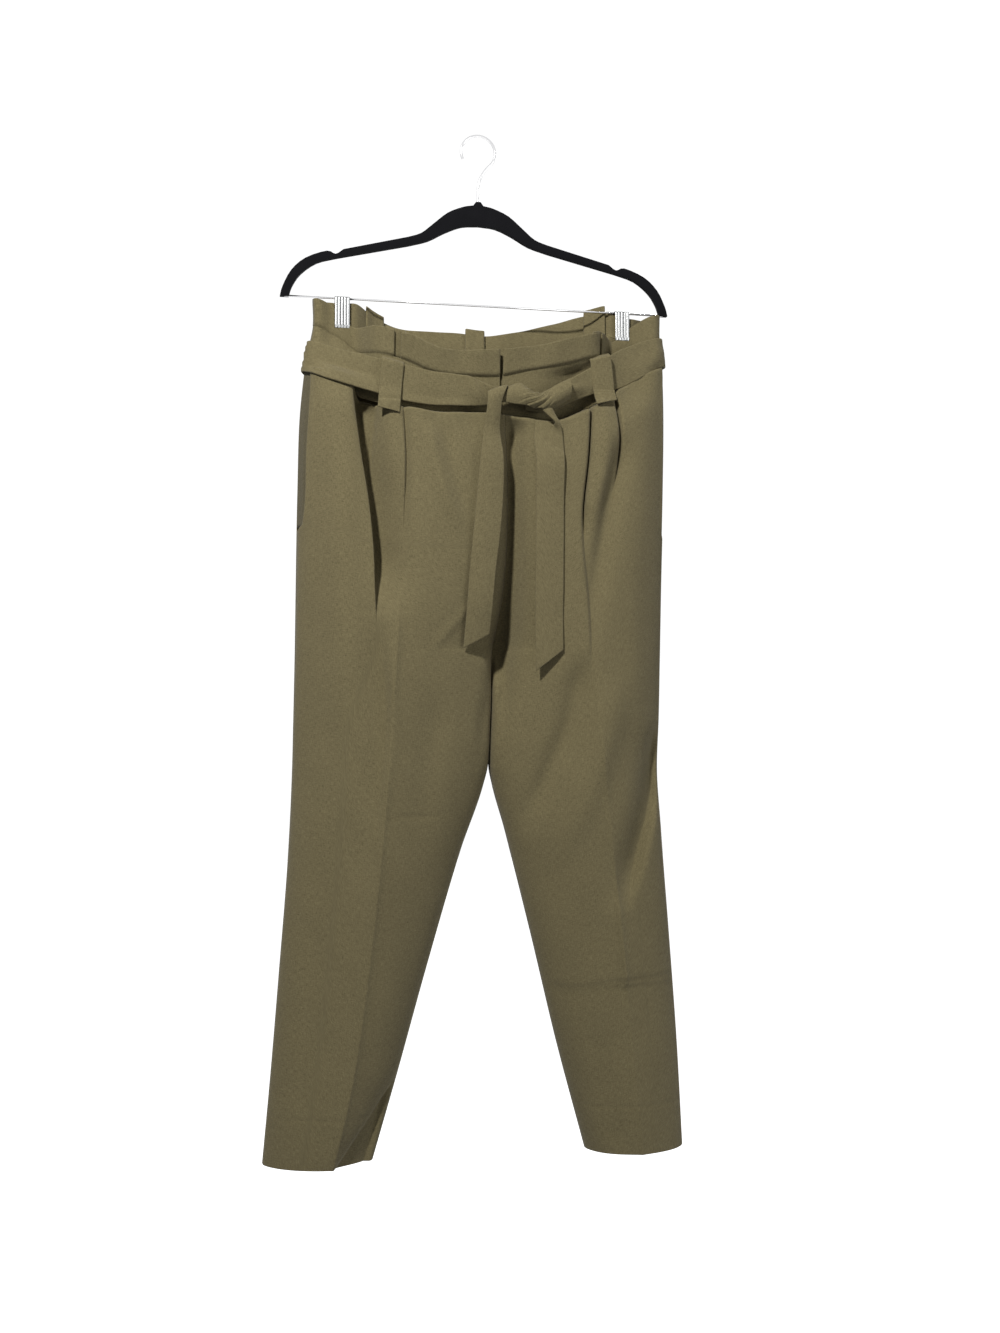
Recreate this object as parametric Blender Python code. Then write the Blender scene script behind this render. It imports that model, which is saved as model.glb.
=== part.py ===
"""High-waisted trousers with a paperbag frill and a tied belt, clipped to a hanger.

Metres, +Z up.  The origin is the seat inside the hanger's hook, where a rail
carries the whole load.  The garment's front faces -Y and +X is on the right of
somebody looking at the front.  "Drop" is the distance below the origin, so a
point at a drop of 0.6 has z = -0.6.

Every cloth piece is a wall built on a middle surface.  The function cloth_y
gives that surface for the front and for the back at any x and drop, and each
belt, loop, tail and facing is made from the same surface, moved out or in.
"""

import math
from functools import lru_cache

import bmesh
import bpy
import numpy as np

# Cloth
CLOTH = 0.0012            # wall of a single layer
BELT_CLOTH = 0.0018       # belt and tails are two layers stitched together
SEAM_HALF = 0.00015       # half of the gap left between two sewn pieces
SEAT_GAP = 0.0003         # gap to a piece that rests on another
FOLDED_SEAM = 0.0006      # gap at a seam whose two sides are folded differently

# Heights, as drops below the hook's seat
FRILL_HEIGHT = 0.030      # paperbag frill above the waistband
BAND_HEIGHT = 0.050       # waistband, between frill and body
WAIST_HEIGHT = FRILL_HEIGHT + BAND_HEIGHT
BODY_TOP = 0.330          # drop that the tables use for the top of the body
CROTCH = 0.605
HEM = 1.168

# Waist, left and right as seen from the front
WAIST_CENTRE_FRONT = 0.021
WAIST_CENTRE_BACK = 0.000
FLY_SLIT_HALF = 0.0012    # the waistband's closure stands slightly open

# Hanger
HANGER_THICK = 0.0055
HANGER_TIP = 0.2225       # half of the hanger's width, to the middle of a tip
HOOK_WIRE = 0.0017        # radius
HOOK_RADIUS = 0.0200      # of the wire's middle line
BAR_RADIUS = 0.0012
BAR_DROP = 0.2005
BORE_CLEARANCE = 0.0003
CLIP_SHEET = 0.0008
CLIP_WIDTH = 0.0170
CLIP_BOTTOM = 0.2380
CLIP_INNER = 0.0024       # half of the space between a clip's jaws
CLIP_HOLD = 0.0125        # half of the width that a clip presses flat
PINCH_FADE = 0.022        # distance over which the cloth opens beside a clip
CLIP_RIBS = 4
RIB_HEIGHT = 0.0007
CLIP_X = {"left": -0.157, "right": 0.172}

# Belt, loops and pockets
BELT_LIFT = 0.0040        # from the waistband's middle surface to the belt's
BELT_RING = 0.055         # distance below the frill's top at which the belt runs
BELT_SAMPLES = 40
LOOP_WIDTH = 0.024
LOOP_LIFT = 0.0028        # from the belt's middle surface to the loop's
LOOP_END_LIFT = 0.0026    # on the waistband
POCKET_SLANT = 0.012
POCKET_END = 0.466
FACING_WIDTH = 0.026
FLY_END = 0.470
FACING_UNDER = 0.0031     # from the front down to the facing behind it
ZIP_UNDER = 0.0030
SHIELD_UNDER = 0.0056

# Mesh density
OUTER_COLUMNS = 8
INNER_COLUMNS = 6
RISE_ROWS = 9
LEG_ROWS = 9


class Table:
    """Rows of numbers with named columns, read as smooth curves over the first one."""

    def __init__(self, columns, rows):
        self.names = columns.split()
        self.data = np.array(rows, float)

    def read(self, name, at):
        """Cubic Hermite curve through the rows, with slopes from the neighbours."""
        key = self.data[:, 0]
        value = self.data[:, self.names.index(name)]
        at = min(max(at, key[0]), key[-1])
        slope = np.gradient(value, key)
        k = min(int(np.searchsorted(key, at, side="right")) - 1, len(key) - 2)
        step = key[k + 1] - key[k]
        t = (at - key[k]) / step
        return float(
            (2 * t**3 - 3 * t**2 + 1) * value[k]
            + (t**3 - 2 * t**2 + t) * step * slope[k]
            + (3 * t**2 - 2 * t**3) * value[k + 1]
            + (t**3 - t**2) * step * slope[k + 1]
        )


# Outline of each leg from the front: side seam, pressed crease, centre or inseam
OUTLINE = {
    "left": Table("drop outer crease inner", [
        (0.330, -0.1985, -0.092, 0.024),
        (0.370, -0.2030, -0.092, 0.028),
        (0.450, -0.2055, -0.092, 0.030),
        (0.540, -0.2065, -0.094, 0.026),
        (0.605, -0.2070, -0.096, 0.017),
        (0.680, -0.2080, -0.102, 0.014),
        (0.741, -0.2090, -0.107, 0.010),
        (0.830, -0.2125, -0.114, -0.0195),
        (0.960, -0.2215, -0.127, -0.0580),
        (1.080, -0.2305, -0.144, -0.0915),
        (1.168, -0.2380, -0.163, -0.117),
    ]),
    "right": Table("drop outer crease inner", [
        (0.330, 0.2210, 0.130, 0.024),
        (0.370, 0.2220, 0.126, 0.028),
        (0.450, 0.2205, 0.119, 0.030),
        (0.540, 0.2170, 0.123, 0.026),
        (0.605, 0.2150, 0.125, 0.017),
        (0.680, 0.2130, 0.129, 0.014),
        (0.741, 0.2105, 0.135, 0.0135),
        (0.808, 0.2145, 0.143, 0.031),
        (0.922, 0.2230, 0.155, 0.060),
        (1.050, 0.2320, 0.169, 0.091),
        (1.168, 0.2380, 0.181, 0.123),
    ]),
}

# How far the cloth stands out from the seams, and how sharp the pressed crease is
VOLUME = Table("drop front back crease", [
    (0.330, 0.036, 0.030, 0.04),
    (0.370, 0.043, 0.034, 0.05),
    (0.450, 0.050, 0.040, 0.08),
    (0.540, 0.054, 0.043, 0.14),
    (0.605, 0.056, 0.045, 0.20),
    (0.741, 0.056, 0.046, 0.30),
    (0.960, 0.048, 0.041, 0.42),
    (1.168, 0.040, 0.036, 0.50),
])

# How far the centre seams are drawn in towards the crotch, from 0 to 1
CLEFT = Table("drop front back", [
    (0.330, 0.00, 0.00),
    (0.400, 0.05, 0.03),
    (0.470, 0.18, 0.12),
    (0.530, 0.42, 0.34),
    (0.570, 0.68, 0.62),
    (0.605, 1.00, 1.00),
])

# Top edge of the frill, which sags between the two clips
FRONT_TOP = Table("x drop", [
    (-0.1900, 0.2035),
    (-0.1570, 0.2130),
    (-0.1400, 0.2310),
    (-0.0990, 0.2455),
    (-0.0500, 0.2610),
    (0.0220, 0.2610),
    (0.0780, 0.2540),
    (0.1200, 0.2410),
    (0.1570, 0.2230),
    (0.1720, 0.2130),
    (0.2170, 0.2030),
])
BACK_TOP = Table("x drop", [
    (-0.1900, 0.2035),
    (-0.1570, 0.2110),
    (-0.1120, 0.2200),
    (0.0000, 0.2260),
    (0.0500, 0.2210),
    (0.1000, 0.2100),
    (0.1400, 0.2040),
    (0.1720, 0.2090),
    (0.2170, 0.2030),
])

# Waist section by distance below the frill's top edge
WAIST = Table("below left right front back", [
    (0.000, -0.1900, 0.2170, 0.040, 0.024),
    (0.030, -0.1895, 0.2170, 0.034, 0.022),
    (0.055, -0.1940, 0.2195, 0.034, 0.026),
    (0.080, -0.1985, 0.2210, 0.036, 0.030),
])

# Folds: a trough or ridge along a curve through three points of (drop, x).
# "rise" is outward, and the two widths are to its left and its right.
FOLD_COLUMNS = "face side drop_a x_a drop_b x_b drop_c x_c rise width_left width_right"
FOLDS = [
    ("front", "left", 0.315, -0.143, 0.470, -0.122, 0.800, -0.122, -0.013, 0.016, 0.009),
    ("front", "left", 0.330, -0.172, 0.520, -0.158, 0.760, -0.152, 0.007, 0.022, 0.022),
    ("front", "right", 0.330, 0.161, 0.450, 0.148, 0.650, 0.128, -0.012, 0.008, 0.015),
    ("front", "right", 0.560, 0.124, 0.700, 0.100, 0.830, 0.056, -0.008, 0.020, 0.018),
    ("front", "right", 0.700, 0.207, 0.800, 0.194, 0.910, 0.158, -0.009, 0.022, 0.008),
    ("back", "left", 0.420, -0.040, 0.560, -0.090, 0.720, -0.130, -0.008, 0.020, 0.020),
    ("back", "left", 0.640, -0.150, 0.780, -0.110, 0.960, -0.110, -0.008, 0.018, 0.018),
    ("back", "right", 0.430, 0.060, 0.580, 0.100, 0.700, 0.160, -0.008, 0.020, 0.020),
    ("back", "right", 0.660, 0.120, 0.800, 0.150, 0.980, 0.150, -0.008, 0.018, 0.018),
]
# The trough down the centre front, which both fronts share: drop at its two ends
TROUGH_TOP = 0.345
TROUGH_END = 0.603
TROUGH_DEPTH = 0.009
TROUGH_WIDTH = 0.016
FOLD_FADE = 0.16          # share of a fold's length over which each end dies away

# Belt loops, each with an inverted box pleat in the frill above it
LOOPS = {
    "loop_front_left": ("front", -0.1015, -0.1050, 0.031, 0.0890),
    "loop_front_right": ("front", 0.1365, 0.1420, 0.031, 0.0875),
    "loop_back_left": ("back", -0.1190, -0.1190, 0.031, 0.0880),
    "loop_back_centre": ("back", 0.0000, 0.0000, 0.031, 0.0880),
    "loop_back_right": ("back", 0.1420, 0.1440, 0.033, 0.0850),
}
# A loop's course: share of its length, and whether it lies over the belt there
LOOP_PROFILE = [
    (0.00, False), (0.03, False), (0.08, True), (0.30, True), (0.50, True),
    (0.70, True), (0.92, True), (0.97, False), (1.00, False),
]
PLEATS = {"front": (-0.099, 0.137), "back": (-0.119, 0.000, 0.142)}
PLEAT_HALF = 0.011        # half of the underlay's width
PLEAT_SLIT = 0.0011       # half of the opening, to the middle of each wall
PLEAT_LAYER = 0.0017      # from one folded layer to the next

# Belt round the waist: middle line and width, with extra distance from the cloth
BELT_FRONT_LEFT = Table("x drop width lift", [
    (-0.1960, 0.2760, 0.040, 0.0000),
    (-0.1600, 0.2850, 0.040, 0.0000),
    (-0.1180, 0.2975, 0.037, 0.0000),
    (-0.0900, 0.3045, 0.036, 0.0002),
    (-0.0500, 0.3110, 0.035, 0.0045),
    (-0.0100, 0.3125, 0.031, 0.0075),
    (0.0080, 0.3170, 0.026, 0.0088),
])
BELT_FRONT_RIGHT = Table("x drop width lift", [
    (0.0560, 0.3190, 0.020, 0.0088),
    (0.0850, 0.3130, 0.025, 0.0075),
    (0.1200, 0.2950, 0.030, 0.0014),
    (0.1360, 0.2890, 0.030, 0.0002),
    (0.1540, 0.2800, 0.033, 0.0000),
    (0.1850, 0.2640, 0.036, 0.0000),
    (0.2195, 0.2520, 0.033, 0.0000),
])
BELT_BACK = Table("x drop width lift", [
    (-0.1960, 0.2760, 0.040, 0.0000),
    (-0.1190, 0.2770, 0.040, 0.0000),
    (0.0000, 0.2825, 0.038, 0.0000),
    (0.1460, 0.2625, 0.036, 0.0000),
    (0.2195, 0.2520, 0.033, 0.0000),
])

# Tails: middle line and width; each ends in a slanting cut
TAILS = {
    "belt_tail_left": Table("drop x width lift", [
        (0.3360, 0.0140, 0.017, 0.0130),
        (0.3850, 0.0150, 0.024, 0.0060),
        (0.5000, 0.0080, 0.029, 0.0024),
        (0.5860, -0.0070, 0.029, 0.0022),
    ]),
    "belt_tail_right": Table("drop x width lift", [
        (0.3450, 0.0740, 0.024, 0.0100),
        (0.3850, 0.0745, 0.029, 0.0055),
        (0.4350, 0.0740, 0.032, 0.0028),
        (0.6040, 0.0735, 0.032, 0.0026),
    ]),
}
TAIL_CUT = {"belt_tail_left": 0.016, "belt_tail_right": 0.024}

KNOT_CENTRE = (0.0320, 0.3180)       # x and drop
KNOT_HALF = (0.0249, 0.0085, 0.0155)  # across, front to back, and up
KNOT_LIFT = 0.0128                   # from the cloth's middle surface

# Hanger outline, right half: the upper edge from the hook out to the tip, then back
HANGER_TOP = [
    (0.006, 0.0825), (0.018, 0.0850), (0.036, 0.0930), (0.053, 0.1075), (0.067, 0.1190),
    (0.082, 0.1245), (0.156, 0.1435), (0.165, 0.1495), (0.175, 0.1465), (0.199, 0.1560),
    (0.215, 0.1710), (0.2245, 0.1900), (0.2275, 0.2015),
]
HANGER_BOTTOM = [
    (0.2175, 0.2015), (0.2135, 0.1890), (0.2040, 0.1745), (0.1865, 0.1610), (0.1640, 0.1540),
    (0.082, 0.1345), (0.059, 0.1275), (0.040, 0.1170), (0.020, 0.1085), (0.000, 0.1065),
]
NUB_HALF = 0.0045
NUB_TOP = 0.0780
HOOK_FOOT = 0.0900        # drop of the wire's lower end, inside the body


def smooth(t):
    t = min(max(t, 0.0), 1.0)
    return t * t * (3.0 - 2.0 * t)


def mix(a, b, t):
    return a + (b - a) * t


def side_of(x):
    return "left" if x < WAIST_CENTRE_FRONT else "right"


def top_drop(face, x):
    """Drop of the frill's top edge."""
    return (FRONT_TOP if face == "front" else BACK_TOP).read("drop", x)


def body_top_drop(face, x):
    """Drop of the seam between waistband and body."""
    return top_drop(face, x) + WAIST_HEIGHT


def pinch(x, below):
    """1 where a clip holds front and back together, dying away beside and below it."""
    down = 1.0 - 0.75 * smooth((below - 0.026) / 0.054)
    if below > WAIST_HEIGHT:
        down = 0.25 * (1.0 - smooth((below - WAIST_HEIGHT) / 0.050))
    hold = 0.0
    for clip in CLIP_X.values():
        beside = max(0.0, abs(x - clip) - CLIP_HOLD)
        hold = max(hold, math.exp(-((beside / PINCH_FADE) ** 2)))
    return 0.975 * hold * down


def outer_curve(share, ridge):
    """Rounded from the side seam (0) to the crease (1); ridge makes it meet at an angle."""
    share = min(max(share, 0.0), 1.0)
    return ridge * share + (1.0 - ridge) * math.sqrt(1.0 - (1.0 - share) ** 2)


def inner_curve(share, ridge, cleft):
    """From the crease (0) to the centre seam or inseam (1)."""
    share = min(max(share, 0.0), 1.0)
    reach = mix(0.55, 1.0, cleft)
    drawn = (1.0 - math.sqrt(max(0.0, 1.0 - (share * reach) ** 2))) / (1.0 - math.sqrt(1.0 - reach**2))
    leg = (1.0 - ridge) * (1.0 - drawn) + ridge * (1.0 - share)
    flat = 1.0 - drawn
    return 1.0 - cleft * (1.0 - mix(flat, leg, cleft))


def fold_rise(route, x, drop):
    """Outward rise that one fold gives at a point."""
    drop_a, x_a, drop_b, x_b, drop_c, x_c, rise, width_left, width_right = route
    along = (drop - drop_a) / (drop_c - drop_a)
    if along <= 0.0 or along >= 1.0:
        return 0.0
    middle = (drop_b - drop_a) / (drop_c - drop_a)
    line = (
        x_a * (along - middle) * (along - 1.0) / middle
        + x_b * along * (along - 1.0) / (middle * (middle - 1.0))
        + x_c * along * (along - middle) / (1.0 - middle)
    )
    aside = x - line
    width = width_left if aside < 0.0 else width_right
    fade = smooth(along / FOLD_FADE) * smooth((1.0 - along) / FOLD_FADE)
    return rise * fade * math.exp(-((aside / width) ** 2))


def folds_at(face, side, x, drop, edge_share):
    """Sum of the folds, which stop short of the side seams and inseams."""
    total = 0.0
    for row in FOLDS:
        if row[0] == face and row[1] == side:
            total += fold_rise(row[2:], x, drop)
    total *= smooth(edge_share / 0.12)
    if face == "front" and drop < TROUGH_END:
        aside = (x - OUTLINE[side].read("inner", drop)) / TROUGH_WIDTH
        fade = smooth((drop - TROUGH_TOP) / 0.060) * smooth((TROUGH_END - drop) / 0.040)
        total -= TROUGH_DEPTH * fade * math.exp(-(aside**2))
    return total


def waist_y(face, x, below):
    """Middle surface of frill and waistband; below is the distance under the top edge."""
    left = WAIST.read("left", below)
    right = WAIST.read("right", below)
    side = side_of(x)
    outer = left if side == "left" else right
    crease = OUTLINE[side].read("crease", BODY_TOP)
    share = (x - outer) / (crease - outer)
    depth = WAIST.read(face, below) * outer_curve(share, VOLUME.read("crease", BODY_TOP))
    out = -1.0 if face == "front" else 1.0
    return out * (SEAM_HALF + depth * (1.0 - pinch(x, below)))


def body_y(face, side, x, drop):
    """Middle surface of a leg panel, above and below the crotch."""
    out = -1.0 if face == "front" else 1.0
    table_drop = drop
    below = WAIST_HEIGHT + 1.0
    if drop < CROTCH:
        seam = body_top_drop(face, x)
        table_drop = mix(BODY_TOP, CROTCH, (drop - seam) / (CROTCH - seam))
        below = WAIST_HEIGHT + drop - seam
    outer = OUTLINE[side].read("outer", table_drop)
    crease = OUTLINE[side].read("crease", table_drop)
    inner = inner_line(side, face, table_drop)
    depth = VOLUME.read(face, table_drop)
    ridge = VOLUME.read("crease", table_drop)
    cleft = CLEFT.read(face, table_drop) if table_drop < CROTCH else 1.0
    if (x - crease) * (inner - crease) < 0.0:
        share = (x - outer) / (crease - outer)
        curve = outer_curve(share, ridge)
    else:
        curve = inner_curve((x - crease) / (inner - crease), ridge, cleft)
    edge_share = (x - outer) / (inner - outer)
    if table_drop >= CROTCH:
        edge_share = min(edge_share, 1.0 - edge_share)
    rise = folds_at(face, side, x, table_drop, edge_share)
    return out * (SEAM_HALF + depth * curve * (1.0 - pinch(x, below)) + rise)


def inner_line(side, face, table_drop):
    """Centre seam above the crotch, inseam below it, with room for both walls."""
    cleft = CLEFT.read(face, table_drop) if table_drop < CROTCH else 1.0
    apart = SEAT_GAP + 0.0009 * cleft
    line = OUTLINE[side].read("inner", table_drop)
    if table_drop < CROTCH and face == "back":
        line = mix(WAIST_CENTRE_BACK, line, smooth((table_drop - BODY_TOP) / (CROTCH - BODY_TOP)))
    return line - apart if side == "left" else line + apart


def cloth_y(face, x, drop):
    """Middle surface of frill, waistband or body, whichever is at this drop."""
    below = drop - top_drop(face, x)
    if below < WAIST_HEIGHT:
        return waist_y(face, x, max(below, 0.0))
    return body_y(face, side_of(x), x, drop)


def side_line(side, drop):
    """x of the side seam at any drop."""
    corner = WAIST.read(side, 0.0)
    below = drop - top_drop("front", corner)
    if below < WAIST_HEIGHT:
        return WAIST.read(side, below)
    seam = body_top_drop("front", corner)
    level = drop if drop > CROTCH else mix(BODY_TOP, CROTCH, (drop - seam) / (CROTCH - seam))
    return OUTLINE[side].read("outer", level)


def off_cloth(face, x, drop, lift):
    """Point at a distance outward (or inward, if negative) from the middle surface."""
    out = -1.0 if face == "front" else 1.0
    left = side_line("left", drop)
    right = side_line("right", drop)
    x = min(max(x, left), right)
    near = 0.0008
    low = max(x - near, left)
    high = min(x + near, right)
    y = cloth_y(face, x, drop)
    along_x = (cloth_y(face, high, drop) - cloth_y(face, low, drop)) / (high - low)
    along_drop = (cloth_y(face, x, drop + near) - cloth_y(face, x, drop - near)) / (2 * near)
    normal = np.array((-along_x, 1.0, along_drop)) * out
    normal /= np.linalg.norm(normal)
    return np.array((x, y, -drop)) + normal * lift


def new_object(name, bm, material):
    mesh = bpy.data.meshes.new(name)
    bm.normal_update()
    bm.to_mesh(mesh)
    bm.free()
    mesh.materials.append(material)
    thing = bpy.data.objects.new(name, mesh)
    bpy.context.collection.objects.link(thing)
    return thing


def make_material(name, colour, roughness, metallic=0.0):
    material = bpy.data.materials.new(name)
    material.use_nodes = True
    shader = material.node_tree.nodes["Principled BSDF"]
    shader.inputs["Base Color"].default_value = (*colour, 1.0)
    shader.inputs["Roughness"].default_value = roughness
    shader.inputs["Metallic"].default_value = metallic
    return material


def unit(vectors):
    return vectors / np.maximum(np.linalg.norm(vectors, axis=-1, keepdims=True), 1e-12)


def grid_normals(grid):
    """Normals of a grid of points, from its rows and columns."""
    across = np.gradient(grid, axis=1)
    down = np.gradient(grid, axis=0)
    return unit(np.cross(across, down))


def add_wall(bm, grid, thickness, trims=(), outer_extra=0.0):
    """Closed wall on a grid of middle points.

    trims names the edges that a neighbour meets: "top", "bottom", or "start" or "end"
    with the rows concerned.  There both corners of the wall keep the middle point's
    height, or its y, so the two walls end side by side.  outer_extra thickens one face.
    """
    grid = np.asarray(grid, float)
    rows, columns = grid.shape[:2]
    normals = grid_normals(grid)
    for edge in trims:
        if edge in ("top", "bottom"):
            level = normals[0 if edge == "top" else -1]
            level[:, 2] = 0.0
            level[:] = unit(level)
        else:
            name, rows_trimmed = edge
            side = normals[rows_trimmed, 0 if name == "start" else -1]
            side[:, 1:] = 0.0
            normals[rows_trimmed, 0 if name == "start" else -1] = unit(side)
    front = grid + normals * (thickness / 2 + outer_extra)
    back = grid - normals * (thickness / 2)
    faces = []
    near = [[bm.verts.new(p) for p in row] for row in front]
    far = [[bm.verts.new(p) for p in row] for row in back]
    for r in range(rows - 1):
        for c in range(columns - 1):
            faces.append((near[r][c], near[r + 1][c], near[r + 1][c + 1], near[r][c + 1]))
            faces.append((far[r][c], far[r][c + 1], far[r + 1][c + 1], far[r + 1][c]))
    for r in range(rows - 1):
        faces.append((near[r][0], far[r][0], far[r + 1][0], near[r + 1][0]))
        faces.append((near[r][-1], near[r + 1][-1], far[r + 1][-1], far[r][-1]))
    for c in range(columns - 1):
        faces.append((near[0][c], near[0][c + 1], far[0][c + 1], far[0][c]))
        faces.append((near[-1][c], far[-1][c], far[-1][c + 1], near[-1][c + 1]))
    for face in faces:
        bm.faces.new(face)


def face_outwards(bm):
    if bm.calc_volume(signed=True) < 0.0:
        bmesh.ops.reverse_faces(bm, faces=bm.faces[:])


def wall_object(name, grid, thickness, material, trims=(), outer_extra=0.0):
    bm = bmesh.new()
    add_wall(bm, grid, thickness, trims, outer_extra)
    face_outwards(bm)
    return new_object(name, bm, material)


def panel_shares():
    """Column positions: 0 to 1 from side seam to crease, 1 to 2 on to the inner edge."""
    outer = [c / OUTER_COLUMNS for c in range(OUTER_COLUMNS)]
    inner = [1.0 + c / INNER_COLUMNS for c in range(INNER_COLUMNS + 1)]
    return outer + inner


def panel_x(side, face, table_drop, share):
    outer = OUTLINE[side].read("outer", table_drop)
    crease = OUTLINE[side].read("crease", table_drop)
    inner = inner_line(side, face, table_drop)
    cleft = CLEFT.read(face, table_drop) if table_drop < CROTCH else 1.0
    if share <= 1.0:
        packed = 1.0 - math.cos(math.pi / 2 * share)
        return mix(outer, crease, mix(share, packed, 0.65))
    share -= 1.0
    spread = mix(share, math.sin(math.pi / 2 * share), cleft)
    return mix(crease, inner, spread)


def leg_panel(side, face):
    """Middle points of a front or back, from the waistband seam to the hem."""
    grid = []
    for level in panel_levels():
        row = []
        for share in panel_shares():
            x = panel_x(side, face, level, share)
            if face == "front" and share < 1.0 and level < POCKET_END:
                x = mix(pocket_edge(side, level), x, share)
            drop = level
            if level < CROTCH:
                seam = body_top_drop(face, x) + SEAM_HALF
                drop = mix(seam, CROTCH, (level - BODY_TOP) / (CROTCH - BODY_TOP))
            row.append((x, body_y(face, side, x, drop), -drop))
        grid.append(row)
    return grid


def panel_trims(face):
    """Edges of a leg panel that meet a waistband, a side seam or an inseam."""
    open_rows = [r for r, level in enumerate(panel_levels()) if level >= POCKET_END]
    side_rows = open_rows if face == "front" else list(range(len(panel_levels())))
    leg_rows = [r for r, level in enumerate(panel_levels()) if level >= CROTCH]
    return ("top", ("start", side_rows), ("end", leg_rows))


def panel_levels():
    levels = [mix(BODY_TOP, CROTCH, (r / RISE_ROWS) ** 0.9) for r in range(RISE_ROWS)]
    return levels + [mix(CROTCH, HEM, r / LEG_ROWS) for r in range(LEG_ROWS + 1)]


def pocket_edge(side, level):
    """The front's slanting pocket edge, which meets the side seam at POCKET_END."""
    outer = OUTLINE[side].read("outer", level)
    inwards = 1.0 if side == "left" else -1.0
    share = max(0.0, (POCKET_END - level) / (POCKET_END - BODY_TOP))
    return outer + inwards * POCKET_SLANT * share


def pocket_facing(side):
    """Strip that shows behind the pocket edge and runs on under the front."""
    inwards = 1.0 if side == "left" else -1.0
    rows = 6
    corner = WAIST.read(side, 0.0)
    seam = body_top_drop("front", corner) + 0.001
    grid = []
    for r in range(rows + 1):
        down = r / rows
        drop = mix(seam, POCKET_END - 0.014, down)
        outer = side_line(side, drop)
        tucked = smooth((down - 0.50) / 0.25)
        row = []
        for share in (0.0, 0.08, 0.22, 0.40, 0.60, 0.80, 1.0):
            x = outer + inwards * mix(0.0002, FACING_WIDTH, share**1.4)
            here = max(drop, body_top_drop("front", x) + 0.001)
            under = FACING_UNDER * max(tucked, smooth(share / 0.22))
            row.append(off_cloth("front", x, here, -under))
        row[0][1] = min(row[0][1], -SEAM_HALF)
        grid.append(row)
    return grid


def waist_columns(face, sides):
    """x positions along the waistband's lower edge, the same as the panels' below it."""
    columns = []
    for side in sides:
        row = [panel_x(side, face, BODY_TOP, share) for share in panel_shares()]
        if face == "front":
            edge = pocket_edge(side, BODY_TOP)
            outer = row[0]
            row = [mix(edge, x, min(share, 1.0)) for x, share in zip(row, panel_shares())]
            row = [outer, mix(outer, edge, 0.35)] + row
        columns += row if side == "left" else row[::-1]
    return [x for k, x in enumerate(columns) if k == 0 or abs(x - columns[k - 1]) > 0.001]


def pleated_columns(face, columns, folded):
    """Pairs of x and folded depth; an inverted box pleat adds its layers to the frill.

    The depth is None on plain cloth.  The waistband below has no folds, but takes
    columns at the same places.
    """
    if folded:
        grips = [clip + sign * CLIP_HOLD for clip in CLIP_X.values() for sign in (-1.0, 1.0)]
        grips = [x for x in grips if columns[0] < x < columns[-1]]
        kept = [x for x in columns if all(abs(x - grip) > 0.004 for grip in grips)]
        columns = sorted(kept + grips)
    pairs = [(x, None) for x in columns]
    edge = PLEAT_HALF + 0.0022
    for pleat in PLEATS[face]:
        if not columns[0] < pleat < columns[-1]:
            continue
        low = [pair for pair in pairs if pair[0] < pleat - edge - 0.001]
        high = [pair for pair in pairs if pair[0] > pleat + edge + 0.001]
        if folded:
            left = [
                (pleat - edge, 0.0), (pleat - PLEAT_SLIT, 0.0), (pleat - PLEAT_SLIT, PLEAT_LAYER),
                (pleat - PLEAT_HALF, PLEAT_LAYER), (pleat - PLEAT_HALF, 2 * PLEAT_LAYER),
            ]
            middle = [(pleat, 2 * PLEAT_LAYER)]
        else:
            left = [(pleat - edge, None), (pleat - PLEAT_HALF / 2, None)]
            middle = []
        right = [(2 * pleat - x, depth) for x, depth in reversed(left)]
        pairs = low + left + middle + right + high
    return pairs


def folded_y(face, x, below, depth):
    """y of one layer of a pleat; near a clip the layers pile outward instead of inward."""
    out = -1.0 if face == "front" else 1.0
    surface = abs(waist_y(face, x, below))
    if depth is None:
        return out * surface
    innermost = max(surface - 2 * PLEAT_LAYER, CLOTH / 2 + SEAT_GAP)
    return out * (innermost + 2 * PLEAT_LAYER - depth)


def waist_piece(face, sides, levels, pleated=False):
    """Middle points of a frill or waistband piece over one or both sides."""
    pairs = pleated_columns(face, waist_columns(face, sides), pleated)
    centre = WAIST_CENTRE_FRONT if face == "front" else WAIST_CENTRE_BACK
    low = {side: WAIST.read(side, WAIST_HEIGHT) for side in ("left", "right")}
    grid = []
    for below in levels:
        row = []
        for x_low, depth in pairs:
            side = "left" if x_low < centre else "right"
            shrink = (WAIST.read(side, below) - centre) / (low[side] - centre)
            x = centre + (x_low - centre) * mix(1.0, shrink, slide_share(side, x_low, centre, low))
            if len(sides) == 1:
                x = fly_limit(side, x)
            y = folded_y(face, x, below, depth)
            row.append((x, y, -(top_drop(face, x) + below)))
        grid.append(row)
    return grid


def slide_share(side, x, centre, low):
    """The side seam leans outward down the waistband; the middle hangs straight."""
    return smooth(abs((x - centre) / (low[side] - centre)) * 2.0 - 1.0)


def fly_limit(side, x):
    """Keeps the two fronts of the waistband apart at the closure."""
    if side == "left":
        return min(x, WAIST_CENTRE_FRONT - FLY_SLIT_HALF)
    return max(x, WAIST_CENTRE_FRONT + FLY_SLIT_HALF)


def belt_read(face, name, x):
    if face == "back":
        return BELT_BACK.read(name, x)
    table = BELT_FRONT_LEFT if x < KNOT_CENTRE[0] else BELT_FRONT_RIGHT
    return table.read(name, x)


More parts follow.
